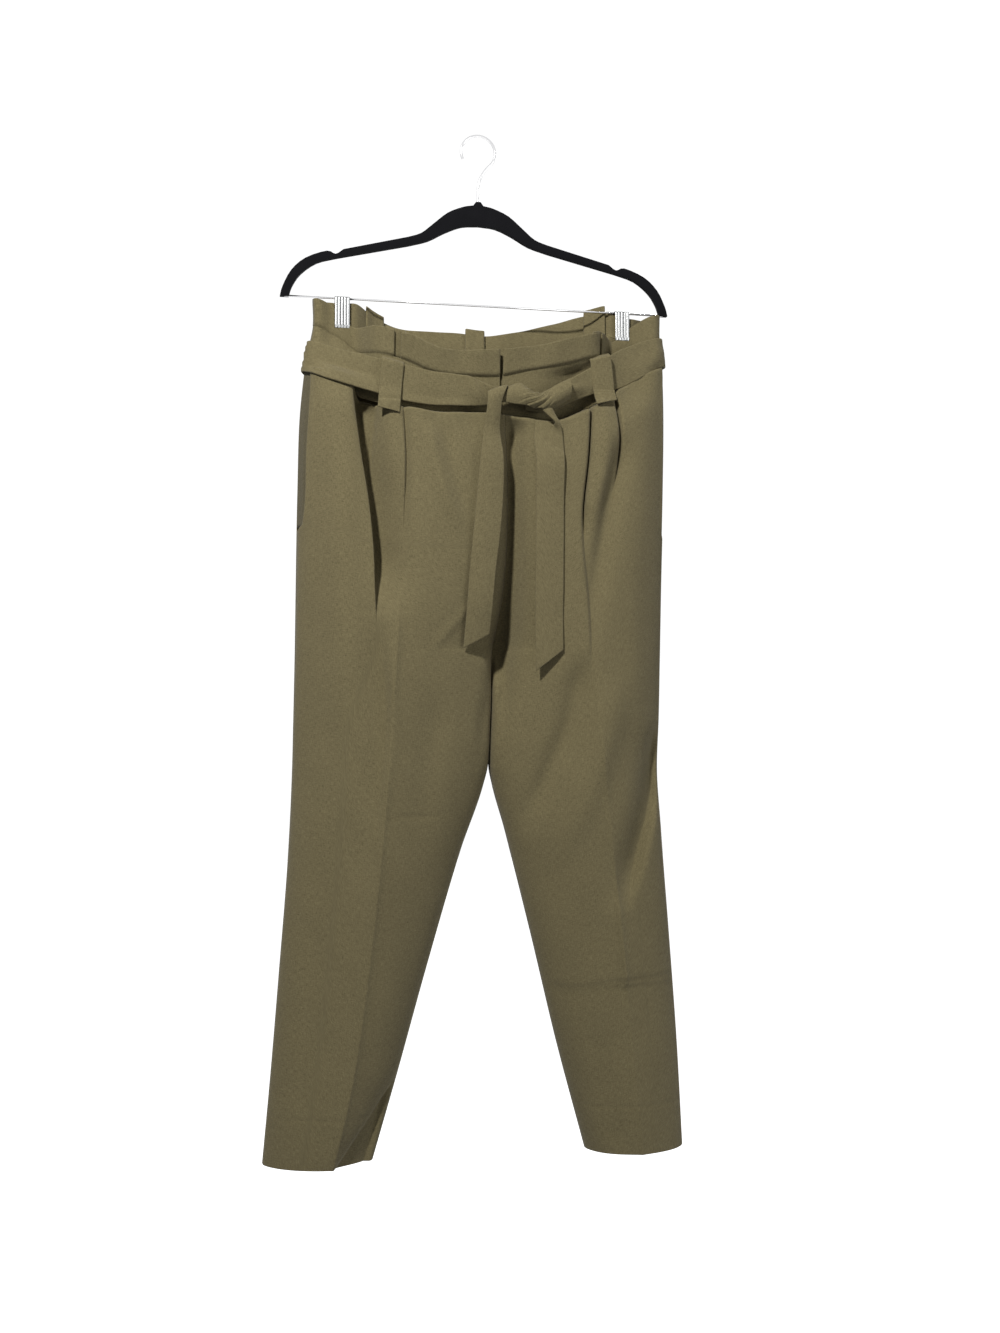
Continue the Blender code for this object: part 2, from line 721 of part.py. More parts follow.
@lru_cache(maxsize=None)
def belt_chain(face, across):
    """x and distance from y = 0 of the belt's middle (0) or an edge (-0.5, 0.5).

    The belt is drawn tight, so it bridges the hollows beside the clips.
    """
    points = []
    centre = WAIST_CENTRE_FRONT
    for side in ("left", "right"):
        ring = WAIST.read(side, BELT_RING)
        for k in range(BELT_SAMPLES + 1):
            x = mix(ring, centre, 1.0 - math.cos(math.pi / 2 * k / BELT_SAMPLES))
            drop = belt_read(face, "drop", x) + across * belt_read(face, "width", x)
            reach = (side_line(side, drop) - centre) / (ring - centre)
            point = off_cloth(face, centre + (x - centre) * reach, drop, BELT_LIFT)
            points.append((point[0], abs(point[1])))
    chain = []
    for point in sorted(points):
        while len(chain) > 1 and not turns_down(chain[-2], chain[-1], point):
            chain.pop()
        chain.append(point)
    return np.array(chain)


def turns_down(a, b, c):
    return (b[0] - a[0]) * (c[1] - a[1]) - (b[1] - a[1]) * (c[0] - a[0]) < 0.0


def belt_out(face, across, x):
    """Distance of the belt's middle surface from y = 0."""
    chain = belt_chain(face, across)
    return float(np.interp(x, chain[:, 0], chain[:, 1])) + belt_read(face, "lift", x)


def belt_points(face, x):
    """The belt's upper edge, middle and lower edge at one x."""
    out = -1.0 if face == "front" else 1.0
    centre = WAIST_CENTRE_FRONT
    side = side_of(x)
    ring = WAIST.read(side, BELT_RING)
    points = []
    for across in (-0.5, 0.0, 0.5):
        end = belt_chain(face, across)[0 if side == "left" else -1, 0]
        x_here = centre + (x - centre) * (end - centre) / (ring - centre)
        drop = belt_read(face, "drop", x) + across * belt_read(face, "width", x)
        points.append((x_here, out * belt_out(face, across, x_here), -drop))
    return points


def belt_loop(face, x_top, x_bottom, below_top, below_bottom):
    """Strip over the belt, fastened to the waistband at both ends."""
    out = -1.0 if face == "front" else 1.0
    start = top_drop(face, x_top) + below_top
    end = top_drop(face, x_bottom) + below_bottom
    half = LOOP_WIDTH / 2
    grid = []
    for along, lifted in LOOP_PROFILE:
        centre = mix(x_top, x_bottom, along)
        slope = top_drop(face, centre + half) - top_drop(face, centre - half)
        row = []
        for across in (-0.5, 0.0, 0.5):
            x = centre + across * LOOP_WIDTH
            drop = mix(start, end, along) + across * slope
            point = off_cloth(face, x, drop, LOOP_END_LIFT)
            if lifted:
                share = (drop - belt_read(face, "drop", x)) / belt_read(face, "width", x)
                edge = -0.5 if share < 0.0 else 0.5
                near_edge = min(1.0, abs(share) * 2.0)
                over = mix(belt_out(face, 0.0, x), belt_out(face, edge, x), near_edge)
                point[1] = out * (over + LOOP_LIFT)
            row.append(point)
        grid.append(row)
    return grid


def belt_columns(face, side):
    """x positions along the belt from the side seam to the knot or the centre back."""
    if face == "back":
        count, end = 10, WAIST_CENTRE_BACK
    elif side == "left":
        count, end = 14, BELT_FRONT_LEFT.data[-1, 0]
    else:
        count, end = 12, BELT_FRONT_RIGHT.data[0, 0]
    start = WAIST.read(side, BELT_RING)
    packed = [1.0 - math.cos(math.pi / 2 * c / count) for c in range(count + 1)]
    return [mix(start, end, mix(c / count, share, 0.7)) for c, share in enumerate(packed)]


def belt_round():
    """The belt from the knot's left, round the back, to the knot's right."""
    front_left = belt_columns("front", "left")[::-1]
    back = belt_columns("back", "left") + belt_columns("back", "right")[-2::-1]
    front_right = belt_columns("front", "right")
    columns = [belt_points("front", x) for x in front_left]
    columns += [belt_points("back", x) for x in back[1:-1]]
    columns += [belt_points("front", x) for x in front_right]
    return [[column[row] for column in columns] for row in range(3)]


def tail_strip(name):
    table = TAILS[name]
    start = table.data[0, 0]
    end = table.data[-1, 0]
    cut = TAIL_CUT[name]
    rows = 12
    grid = []
    for r in range(rows + 1):
        along = r / rows
        drop = mix(start, end, along)
        middle = table.read("x", drop)
        width = table.read("width", drop)
        lift = table.read("lift", drop)
        nearest = min(cloth_y("front", middle + share * width, drop) for share in (-0.5, -0.25, 0.0, 0.25, 0.5))
        row = []
        for across in (-0.5, 0.0, 0.5):
            longer = cut * (0.5 - across) * along**6
            row.append((middle + across * width, nearest - lift, -(drop + longer)))
        grid.append(row)
    return grid


def fly_piece(start, end, left, right, under, rows=7):
    """Strip behind the centre front, from its left to its right edge."""
    seam = body_top_drop("front", WAIST_CENTRE_FRONT)
    grid = []
    for r in range(rows + 1):
        drop = mix(start, end, r / rows)
        centre = WAIST_CENTRE_FRONT
        if drop > seam:
            level = mix(BODY_TOP, CROTCH, (drop - seam) / (CROTCH - seam))
            centre = OUTLINE["left"].read("inner", level)
        grid.append([off_cloth("front", centre + x, drop, -under) for x in np.linspace(left, right, 5)])
    return grid


def build_knot(material):
    """The tie: a flattened bundle with a waist where the end passes over it."""
    bm = bmesh.new()
    bmesh.ops.create_uvsphere(bm, u_segments=14, v_segments=8, radius=1.0)
    x, drop = KNOT_CENTRE
    y = cloth_y("front", x, drop) - KNOT_LIFT
    for vert in bm.verts:
        across = vert.co.x
        swell = 0.80 + 0.20 * math.cos(math.pi * across)
        vert.co.x = x + across * KNOT_HALF[0]
        vert.co.y = y + vert.co.y * KNOT_HALF[1]
        vert.co.z = -drop + vert.co.z * KNOT_HALF[2] * swell
    face_outwards(bm)
    return new_object("belt_knot", bm, material)


def smooth_line(points, corners, steps):
    """A curve through the points that keeps a corner at each index in corners."""
    points = np.array(points, float)
    line = []
    last = len(points) - 1
    for k in range(last):
        before = points[k] - (points[k + 1] - points[k]) if k == 0 or k in corners else points[k - 1]
        after = points[k + 1]
        beyond = after + (after - points[k]) if k + 1 == last or k + 1 in corners else points[k + 2]
        for s in range(steps):
            t = s / steps
            line.append(tuple(0.5 * (
                2 * points[k]
                + (after - before) * t
                + (2 * before - 5 * points[k] + 4 * after - beyond) * t**2
                + (3 * points[k] - before - 3 * after + beyond) * t**3
            )))
    line.append(tuple(points[last]))
    return line


def cutter(name, location, radius, depth, rotation):
    """A hidden cylinder that a Boolean cuts away."""
    bm = bmesh.new()
    bmesh.ops.create_cone(
        bm, cap_ends=True, segments=16, radius1=radius, radius2=radius, depth=depth
    )
    mesh = bpy.data.meshes.new(name)
    bm.to_mesh(mesh)
    bm.free()
    thing = bpy.data.objects.new(name, mesh)
    bpy.context.collection.objects.link(thing)
    thing.location = location
    thing.rotation_euler = rotation
    thing.hide_render = True
    thing.display_type = "WIRE"
    return thing


def cut_away(thing, tool):
    boolean = thing.modifiers.new(tool.name, "BOOLEAN")
    boolean.operation = "DIFFERENCE"
    boolean.solver = "EXACT"
    boolean.object = tool


def build_hanger(material):
    """Flat body with two notched arms, bored for the hook and for the bar's ends."""
    nub = [(0.0, NUB_TOP), (NUB_HALF * 0.6, NUB_TOP)]
    upper = smooth_line(HANGER_TOP, {5, 6, 12}, 3)
    lower = smooth_line(HANGER_BOTTOM, {0, 4, 5}, 3)
    right = nub + upper + lower
    left = [(-x, drop) for x, drop in reversed(right[1:-1])]
    outline = right + left
    bm = bmesh.new()
    half = HANGER_THICK / 2
    face = bm.faces.new([bm.verts.new((x, -half, -drop)) for x, drop in outline])
    extruded = bmesh.ops.extrude_face_region(bm, geom=[face])
    moved = [v for v in extruded["geom"] if isinstance(v, bmesh.types.BMVert)]
    bmesh.ops.translate(bm, verts=moved, vec=(0.0, HANGER_THICK, 0.0))
    bmesh.ops.recalc_face_normals(bm, faces=bm.faces[:])
    face_outwards(bm)
    body = new_object("hanger_body", bm, material)
    depth = HOOK_FOOT - NUB_TOP + BORE_CLEARANCE
    bore = cutter("hook_bore", (0.0, 0.0, -(NUB_TOP + depth / 2 - 0.001)),
                  HOOK_WIRE + BORE_CLEARANCE, depth + 0.002, (0.0, 0.0, 0.0))
    cut_away(body, bore)
    for side, sign in (("left", -1.0), ("right", 1.0)):
        socket = cutter(f"bar_socket_{side}", (sign * (HANGER_TIP - 0.004), 0.0, -BAR_DROP),
                        BAR_RADIUS + BORE_CLEARANCE, 0.008, (0.0, math.pi / 2, 0.0))
        cut_away(body, socket)
    return body


def build_hook(material):
    """One bent wire: shank, sweep to the right, then over the top to the left."""
    centre_z = -(HOOK_RADIUS - HOOK_WIRE)
    start = math.radians(-50.0)
    end = math.radians(205.0)
    points = [(0.0, -HOOK_FOOT), (0.0, -0.075), (0.0, -0.062)]
    join = (HOOK_RADIUS * math.cos(start), centre_z + HOOK_RADIUS * math.sin(start))
    bend = (0.0, -0.0475)
    for k in range(1, 6):
        t = k / 6
        points.append((
            (1 - t) ** 2 * 0.0 + 2 * t * (1 - t) * bend[0] + t**2 * join[0],
            (1 - t) ** 2 * -0.062 + 2 * t * (1 - t) * bend[1] + t**2 * join[1],
        ))
    turns = 22
    for k in range(turns + 1):
        angle = mix(start, end, k / turns)
        points.append((HOOK_RADIUS * math.cos(angle), centre_z + HOOK_RADIUS * math.sin(angle)))
    curve = bpy.data.curves.new("hook", "CURVE")
    curve.dimensions = "3D"
    curve.bevel_depth = HOOK_WIRE
    curve.bevel_resolution = 3
    curve.use_fill_caps = True
    spline = curve.splines.new("POLY")
    spline.points.add(len(points) - 1)
    for point, (x, z) in zip(spline.points, points):
        point.co = (x, 0.0, z, 1.0)
    hook = bpy.data.objects.new("hook", curve)
    bpy.context.collection.objects.link(hook)
    hook.data.materials.append(material)
    return hook


def build_bar(material):
    bm = bmesh.new()
    length = 2 * (HANGER_TIP - BORE_CLEARANCE)
    bmesh.ops.create_cone(
        bm, cap_ends=True, segments=12, radius1=BAR_RADIUS, radius2=BAR_RADIUS, depth=length
    )
    face_outwards(bm)
    bar = new_object("hanger_bar", bm, material)
    bar.location = (0.0, 0.0, -BAR_DROP)
    bar.rotation_euler = (0.0, math.pi / 2, 0.0)
    return bar


def build_clip(side, material):
    """Sheet bent over the bar, with upright ribs on both jaws."""
    middle = CLIP_INNER + CLIP_SHEET / 2
    bend = -(BAR_DROP + CLIP_INNER - BAR_RADIUS - SEAT_GAP)
    path = [(-middle, -CLIP_BOTTOM), (-middle, bend)]
    turns = 6
    for k in range(1, turns):
        angle = math.pi - math.pi * k / turns
        path.append((middle * math.cos(angle), bend + middle * math.sin(angle)))
    path += [(-y, z) for y, z in reversed(path[:2])]
    steps_per_rib = 4
    columns = CLIP_RIBS * steps_per_rib
    rib_shape = (0.0, 1.0, 1.0, 0.0)
    extra = [RIB_HEIGHT * rib_shape[c % steps_per_rib] for c in range(columns)] + [0.0]
    grid = []
    for y, z in path:
        row = []
        for c in range(columns + 1):
            x = CLIP_X[side] + CLIP_WIDTH * (c / columns - 0.5)
            row.append((x, y, z))
        grid.append(row)
    ribs = np.array(extra)[None, :, None]
    return wall_object(f"clip_{side}", grid, CLIP_SHEET, material, outer_extra=ribs)


def build_trousers(cloth):
    for face in ("front", "back"):
        for side in ("left", "right"):
            wall_object(f"{face}_{side}", leg_panel(side, face), CLOTH, cloth, panel_trims(face))
    for side in ("left", "right"):
        wall_object(f"pocket_facing_{side}", pocket_facing(side), CLOTH, cloth)
    frill = (0.0, FRILL_HEIGHT / 2, FRILL_HEIGHT - FOLDED_SEAM)
    band = (FRILL_HEIGHT + SEAM_HALF, 0.047, 0.063, WAIST_HEIGHT - FOLDED_SEAM)
    every_frill_row = [0, 1, 2]
    every_band_row = [0, 1, 2, 3]
    pieces = {
        "front_left": ("front", ["left"], ["start"]),
        "front_right": ("front", ["right"], ["end"]),
        "back": ("back", ["left", "right"], ["start", "end"]),
    }
    for name, (face, sides, seams) in pieces.items():
        grid = waist_piece(face, sides, frill, pleated=True)
        trims = ["bottom"] + [(seam, every_frill_row) for seam in seams]
        wall_object(f"frill_{name}", grid, CLOTH, cloth, trims)
        grid = waist_piece(face, sides, band)
        trims = ["top", "bottom"] + [(seam, every_band_row) for seam in seams]
        wall_object(f"waistband_{name}", grid, CLOTH, cloth, trims)
    fly_top = top_drop("front", WAIST_CENTRE_FRONT) + 0.004
    wall_object("fly_zip", fly_piece(fly_top, FLY_END, -0.004, 0.004, ZIP_UNDER), CLOTH, cloth)
    wall_object("fly_shield", fly_piece(fly_top, FLY_END, -0.010, 0.028, SHIELD_UNDER), CLOTH, cloth)


def build_belt(cloth):
    wall_object("belt_round_waist", belt_round(), BELT_CLOTH, cloth)
    for name, (face, x_top, x_bottom, below_top, below_bottom) in LOOPS.items():
        grid = belt_loop(face, x_top, x_bottom, below_top, below_bottom)
        wall_object(name, grid, CLOTH, cloth)
    for name in TAILS:
        wall_object(name, tail_strip(name), BELT_CLOTH, cloth)
    build_knot(cloth)


def main():
    for thing in list(bpy.data.objects):
        bpy.data.objects.remove(thing)
    cloth = make_material("olive_cloth", (0.195, 0.165, 0.082), 0.85)
    velvet = make_material("black_flocking", (0.010, 0.010, 0.011), 0.95)
    chrome = make_material("bright_wire", (0.75, 0.75, 0.76), 0.22, metallic=1.0)
    build_trousers(cloth)
    build_belt(cloth)
    build_hanger(velvet)
    build_hook(chrome)
    build_bar(chrome)
    for side in CLIP_X:
        build_clip(side, chrome)


main()
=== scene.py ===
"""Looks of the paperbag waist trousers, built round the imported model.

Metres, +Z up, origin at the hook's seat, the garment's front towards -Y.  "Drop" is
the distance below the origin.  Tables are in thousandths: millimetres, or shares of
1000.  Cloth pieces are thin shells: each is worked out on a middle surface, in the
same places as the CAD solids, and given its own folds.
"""

import functools
import math

import bmesh
import bpy
import numpy as np
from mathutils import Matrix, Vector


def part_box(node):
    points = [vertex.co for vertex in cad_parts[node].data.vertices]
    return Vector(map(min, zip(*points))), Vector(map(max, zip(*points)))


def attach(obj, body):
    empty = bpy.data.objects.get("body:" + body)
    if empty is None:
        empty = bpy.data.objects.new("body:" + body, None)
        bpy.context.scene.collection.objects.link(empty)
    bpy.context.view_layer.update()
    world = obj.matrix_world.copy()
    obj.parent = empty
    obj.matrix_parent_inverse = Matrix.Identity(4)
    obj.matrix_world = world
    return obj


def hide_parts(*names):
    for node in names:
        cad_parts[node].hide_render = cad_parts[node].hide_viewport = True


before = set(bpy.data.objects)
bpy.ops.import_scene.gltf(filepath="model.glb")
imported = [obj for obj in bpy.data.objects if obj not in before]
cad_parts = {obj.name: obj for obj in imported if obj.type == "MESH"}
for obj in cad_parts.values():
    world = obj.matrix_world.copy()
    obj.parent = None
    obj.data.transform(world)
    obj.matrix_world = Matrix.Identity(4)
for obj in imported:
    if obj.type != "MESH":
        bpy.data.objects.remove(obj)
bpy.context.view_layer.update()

# ---------------------------------------------------------------- sizes

CLOTH = 0.0010
FRILL_CLOTH = 0.0018       # the frill is turned over, so it is two layers
BELT_CLOTH = 0.0024
LOOP_CLOTH = 0.0018
BODY_TOP = 0.330
CROTCH = 0.605
HEM = 1.168
CENTRE_FRONT = 0.0215
CENTRE_BACK = 0.000
SLIT_HALF = 0.0019
CLIP_X = {"left": -0.157, "right": 0.172}
CLIP_HALF = 0.0085
CLIP_END = {"left": 0.2355, "right": 0.2340}
CLIP_RIBS = 5
CLIP_RIB = 0.0009          # how far the ribs stand out
CLIP_GROOVE_SHADE = 0.36         # share of a rib's height below which its faces get painted shade
CLIP_JAW = 0.0028          # from the bar's line to the middle of each jaw
CLIP_SHEET = 0.0008
BAR_RADIUS = 0.0012
BAR_DROP = 0.2005
SIDES = ("left", "right")
INWARDS = {"left": 1.0, "right": -1.0}
LEAST_OUT = 0.0002         # nothing comes closer to the plane between front and back
PANEL_GRID = {"front": (68, 310), "back": (44, 230)}      # columns on each side, and rows
POCKET_END = 0.466
PLEATS = {"front": (-0.099, 0.1395), "back": (-0.119, 0.000, 0.142)}
PLEAT_HALF = 0.011
PLEAT_LAYER = 0.0021
HEM_STITCH = 1.115
LOOP_WIDTH = 0.0245
LOOP_REST = 0.0014         # a loop's ends stand this far off the cloth
LOOP_OVER = 0.0042         # and its middle this far off the belt's
TAIL_REST = 0.0024         # the least that a tail stands off the cloth
BELT_LIFT = 0.0030         # the belt's middle surface stands this far off the cloth
BELT_SPLIT = 0.032         # x where the front belt's left stretch gives way to its right one
# Distances below the frill's top on the waist's own scale
SEAM_BELOW = 0.030         # the frill's seam
BELT_BELOW = 0.055         # the belt's middle
BODY_BELOW = 0.080         # the seam between waistband and legs
WAIST_SCALE = [0.0, SEAM_BELOW, BODY_BELOW]


def milli(rows):
    """Millimetres in metres, or thousandths in shares."""
    return np.array(rows, float) / 1000.0


class Table:
    """Columns of numbers with names, read as smooth curves over the first one."""

    def __init__(self, columns, data):
        self.names = columns.split()
        self.data = np.array(data, float)

    def read(self, name, at):
        key = self.data[:, 0]
        value = self.data[:, self.names.index(name)]
        at = np.clip(np.asarray(at, float), key[0], key[-1])
        slope = np.gradient(value, key)
        k = np.clip(np.searchsorted(key, at, side="right") - 1, 0, len(key) - 2)
        step = key[k + 1] - key[k]
        t = (at - key[k]) / step
        return (
            (2 * t**3 - 3 * t**2 + 1) * value[k]
            + (t**3 - 2 * t**2 + t) * step * slope[k]
            + (3 * t**2 - 2 * t**3) * value[k + 1]
            + (t**3 - t**2) * step * slope[k + 1]
        )

    def waist_drops(self, at):
        """Drops of the frill's top, of its seam and of the body's seam."""
        return [self.read(name, at) for name in ("top", "seam", "body")]


def table(columns, rows):
    return Table(columns, milli(rows))


# x of each leg's side seam, crease and inner edge
OUTLINE = {
    "left": table("drop outer crease inner", [
        (330, -198.5, -92, 24), (370, -203, -92, 28), (450, -205.5, -92, 30),
        (540, -206.5, -94, 26), (605, -207, -98, 17), (680, -208, -103, 14), (741, -209, -107, 10),
        (830, -212.5, -114, -19.5), (960, -221.5, -127, -58), (1080, -230.5, -144, -91.5),
        (1168, -238, -163, -117),
    ]),
    "right": table("drop outer crease inner", [
        (330, 221, 130, 24), (370, 222, 126, 28), (450, 220.5, 119, 30), (540, 217, 123, 26),
        (605, 215, 125, 17), (680, 213, 129, 14), (741, 210.5, 135, 13.5), (808, 214.5, 143, 31),
        (922, 223, 155, 60), (1050, 232, 169, 91), (1168, 238, 181, 123),
    ]),
}
# Depth of each leg in front and behind, and how sharp its crease is
VOLUME = table("drop front back crease", [
    (330, 36, 30, 40), (370, 43, 34, 50), (450, 50, 40, 80), (540, 54, 43, 140),
    (605, 56, 45, 200), (741, 56, 46, 300), (960, 48, 41, 420), (1168, 40, 36, 500),
])
# How far the two legs are parted in front and behind
CLEFT = table("drop front back", [
    (330, 0, 0), (400, 50, 30), (470, 180, 120), (530, 420, 340), (570, 680, 620),
    (605, 1000, 1000),
])
# Side seams and depths of frill and waistband
WAIST = table("below left right front back", [
    (0, -190, 217, 40, 24), (30, -189.5, 217, 34.5, 22), (55, -194, 219.5, 32.5, 25),
    (80, -198.5, 221, 28.5, 27),
])
# Drops of the frill's top edge, of the seam under it, and of the body's seam
LEVELS = {
    "front": table("x top seam body", [
        (-190, 203, 233.5, 283.5), (-170, 209.5, 242, 289), (-157, 219, 249, 294),
        (-147, 232.5, 257, 301), (-140, 235, 262, 317), (-131, 237.2, 266, 321.5),
        (-105, 244, 273.5, 327.5), (-93, 249.2, 276.5, 329), (-80, 251.5, 281, 330.5),
        (-66, 258, 287, 333), (-50, 264, 291.5, 334.5), (-20, 265.2, 293, 333.5),
        (22, 262.5, 291.5, 334), (50, 258, 284.5, 337), (86, 250.5, 277, 339),
        (105, 245, 272, 332), (125, 239.5, 265.5, 323), (139.5, 234.5, 261.5, 315),
        (150, 232.5, 258, 307), (160, 236, 255, 298), (172, 225, 250, 290), (184, 216, 244.5, 282),
        (196, 209.5, 240, 274), (217, 203, 233.5, 264),
    ]),
    "back": table("x top seam body", [
        (-190, 203, 233.5, 283.5), (-157, 206, 238, 288), (-140, 205, 240, 290.5),
        (-125, 211, 244, 294), (-95, 222, 252.5, 301), (-20, 225.5, 256, 306),
        (20, 227, 255.5, 305), (50, 221.2, 251, 301), (97, 208, 239, 289), (130, 199, 231, 282),
        (156, 197.5, 229, 274), (172, 204, 233, 270), (217, 203, 233.5, 264),
    ]),
}
# Drops of the belt's edges, how far it stands off, and how far its lower edge rolls in
BELT = {
    "front_left": table("x top bottom lift roll", [
        (-195.5, 252, 287, 0, 0.5), (-180, 257, 296.5, 0, 0), (-160, 264, 305, 0, 0),
        (-118, 276.5, 316.5, 0, 0), (-88, 283.5, 324.5, 0.2, 0), (-60, 290.5, 328.5, 3, 0),
        (-30, 294, 329.2, 6, 0), (-10, 297.5, 328.8, 7.5, 1), (4, 304, 327.8, 8.5, 2),
        (14, 307.5, 326.5, 8.5, 2),
    ]),
    "front_right": table("x top bottom lift roll", [
        (48, 311, 330, 8.5, 2), (67, 311, 332, 9, 4), (80, 304, 328, 9, 6),
        (105, 289.5, 316, 7.8, 6), (124, 278, 308.5, 5.6, 2), (142, 266, 303, 3, 0),
        (158, 254.5, 297.5, 0, 0.5), (185, 241.5, 283, 0.4, 1), (211, 232, 266.5, 0, 1),
        (219.5, 230, 264, 0, 1),
    ]),
    "back": table("x top bottom lift roll", [
        (-195.5, 252, 287, 0, 0.5), (-180, 256, 294.5, 0, 0), (-119, 257, 297, 0, 0),
        (0, 263, 302, 0, 0), (146, 244, 282, 0, 0), (219.5, 230, 264, 0, 1),
    ]),
}
# Belt loops: face, x at the top and bottom, drops of the two ends
LOOPS = {
    "loop_front_left": ("front", -101.5, -106.8, 277.5, 337),
    "loop_front_right": ("front", 136.5, 143, 261, 318),
    "loop_back_left": ("back", -119, -119, 248, 307),
    "loop_back_centre": ("back", 0, 0, 256.5, 312.5),
    "loop_back_right": ("back", 142, 144, 233, 290),
}


def smooth(t):
    t = np.clip(t, 0.0, 1.0)
    return t * t * (3.0 - 2.0 * t)


def mix(a, b, t):
    return a + (b - a) * t


def bell(distance, width):
    return np.exp(-((distance / width) ** 2))


def decay(distance, length):
    """1 up to the start of the distance, dying away beyond it."""
    return np.exp(-np.maximum(distance, 0.0) / length)


def outwards(face, x, out, drop):
    """Points at an outward distance from y = 0, towards the front or the back."""
    return np.stack([x, -out if face == "front" else out, -drop], -1)


def curve(points, at):
    """Smooth curve through (key, value) points."""
    return Table("key value", points).read("value", at)


# ---------------------------------------------------------------- base surfaces


def outline(side, level):
    """x of a leg's side seam and of its crease."""
    return [OUTLINE[side].read(name, level) for name in ("outer", "crease")]


PINCH_MOST = 0.975         # share of the depth that the clips press away
PINCH_FLAT = 0.0115        # half-width pressed flat
PINCH_FADE = 0.019


def pinch(x, below):
    """Share of the depth that the clips press away."""
    down = 1.0 - 0.75 * smooth((below - 0.026) / 0.054)
    lower = 0.25 * (1.0 - smooth((below - BODY_BELOW) / 0.050))
    down = np.where(below > BODY_BELOW, lower, down)
    hold = 0.0
    for clip in CLIP_X.values():
        beside = np.maximum(0.0, np.abs(x - clip) - PINCH_FLAT)
        hold = np.maximum(hold, bell(beside, PINCH_FADE))
    return PINCH_MOST * hold * down


def outer_curve(share, ridge):
    """Depth from the side seam (0) to the crease (1)."""
    share = np.clip(share, 0.0, 1.0)
    return ridge * share + (1.0 - ridge) * np.sqrt(1.0 - (1.0 - share) ** 2)


def inner_curve(share, ridge, cleft):
    """Depth from the crease (0) to the centre or the inseam (1)."""
    share = np.clip(share, 0.0, 1.0)
    reach = mix(0.55, 1.0, cleft)
    most = 1.0 - np.sqrt(np.maximum(0.0, 1.0 - reach**2))
    drawn = (1.0 - np.sqrt(np.maximum(0.0, 1.0 - (share * reach) ** 2))) / most
    leg = (1.0 - ridge) * (1.0 - drawn) + ridge * (1.0 - share)
    return 1.0 - cleft * (1.0 - mix(1.0 - drawn, leg, cleft))


def level_below(face, x, drop):
    """Distance under the frill's top on the waist's own scale."""
    top, seam, body = LEVELS[face].waist_drops(x)
    upper = SEAM_BELOW * (drop - top) / (seam - top)
    lower = SEAM_BELOW + (BODY_BELOW - SEAM_BELOW) * (drop - seam) / (body - seam)
    return np.where(drop < seam, np.maximum(upper, 0.0), lower)


HOLLOW_X, HOLLOW_WIDTH, HOLLOW_DEPTH = 0.106, 0.029, 0.0100      # inside the right loop


def waist_out(face, x, below):
    """Outward distance of frill or waistband from y = 0."""
    on_left = x < CENTRE_FRONT
    outer = np.where(on_left, WAIST.read("left", below), WAIST.read("right", below))
    left, right = (OUTLINE[side].read("crease", BODY_TOP) for side in SIDES)
    share = (x - outer) / (np.where(on_left, left, right) - outer)
    depth = WAIST.read(face, below) * outer_curve(share, VOLUME.read("crease", BODY_TOP))
    if face == "front":
        hollow = bell(x - HOLLOW_X, HOLLOW_WIDTH) * smooth((below - SEAM_BELOW) / 0.010)
        depth = depth - HOLLOW_DEPTH * hollow
    return LEAST_OUT + depth * (1.0 - pinch(x, below))


def cleft_at(face, level):
    return np.where(level < CROTCH, CLEFT.read(face, level), 1.0)


def inner_line(side, face, level):
    """x of the centre seam, and of the inseam below the crotch."""
    line = OUTLINE[side].read("inner", level)
    if face == "back":
        line = mix(CENTRE_BACK, line, smooth((level - BODY_TOP) / (CROTCH - BODY_TOP)))
    apart = 0.0001 + 0.0008 * cleft_at(face, level) * smooth((level - 0.735) / 0.020)
    return line - apart if side == "left" else line + apart


def level_of(seam, drop):
    """The tables' drop for a real one; they start at BODY_TOP on the body's seam."""
    down = (drop - seam) / (CROTCH - seam)
    return np.where(drop < CROTCH, mix(BODY_TOP, CROTCH, down), drop)


def drop_of(seam, level):
    """The real drop for one of the tables'."""
    down = (level - BODY_TOP) / (CROTCH - BODY_TOP)
    return np.where(level < CROTCH, mix(seam, CROTCH, down), level)


LOW_RIDGE = {"left": 0.45, "right": 0.65}      # how much rounder the front creases get


def body_out(face, side, x, drop):
    """Outward distance of a leg panel, with its folds."""
    seam = LEVELS[face].read("body", x)
    level = level_of(seam, drop)
    below = BODY_BELOW + np.maximum(0.0, drop - seam)
    outer, crease = outline(side, level)
    inner = inner_line(side, face, level)
    ridge = VOLUME.read("crease", level)
    if face == "front":
        ridge = ridge * (1.0 - LOW_RIDGE[side] * smooth((level - 0.70) / 0.10))
    toward = (x - crease) / (inner - crease)
    form = np.where(
        (x - crease) * (inner - crease) < 0.0,
        outer_curve((x - outer) / (crease - outer), ridge),
        round_inside(toward, inner_curve(toward, ridge, cleft_at(face, level)), level),
    )
    share = (x - outer) / (inner - outer)
    legged = smooth((level - CROTCH) / 0.050)
    edge = smooth(share / 0.06) * mix(1.0, smooth((1.0 - share) / 0.10), legged)
    fold = relief(face, side, x, drop, crease) * edge
    depth = VOLUME.read(face, level) * form * (1.0 - pinch(x, below))
    return LEAST_OUT + np.maximum(depth + fold, 0.0006 * edge)


def round_inside(toward, form, level):
    """Fuller form of the inner thighs where they touch."""
    touching = smooth((level - 0.540) / 0.090) * smooth((0.830 - level) / 0.130)
    toward = np.clip(toward, 0.0, 1.0)
    flank = 0.52 * np.sqrt(np.maximum(1.0 - toward**12, 0.0)) * smooth(toward / 0.6) * touching
    return (form**5 + flank**5) ** 0.2


# ---------------------------------------------------------------- folds


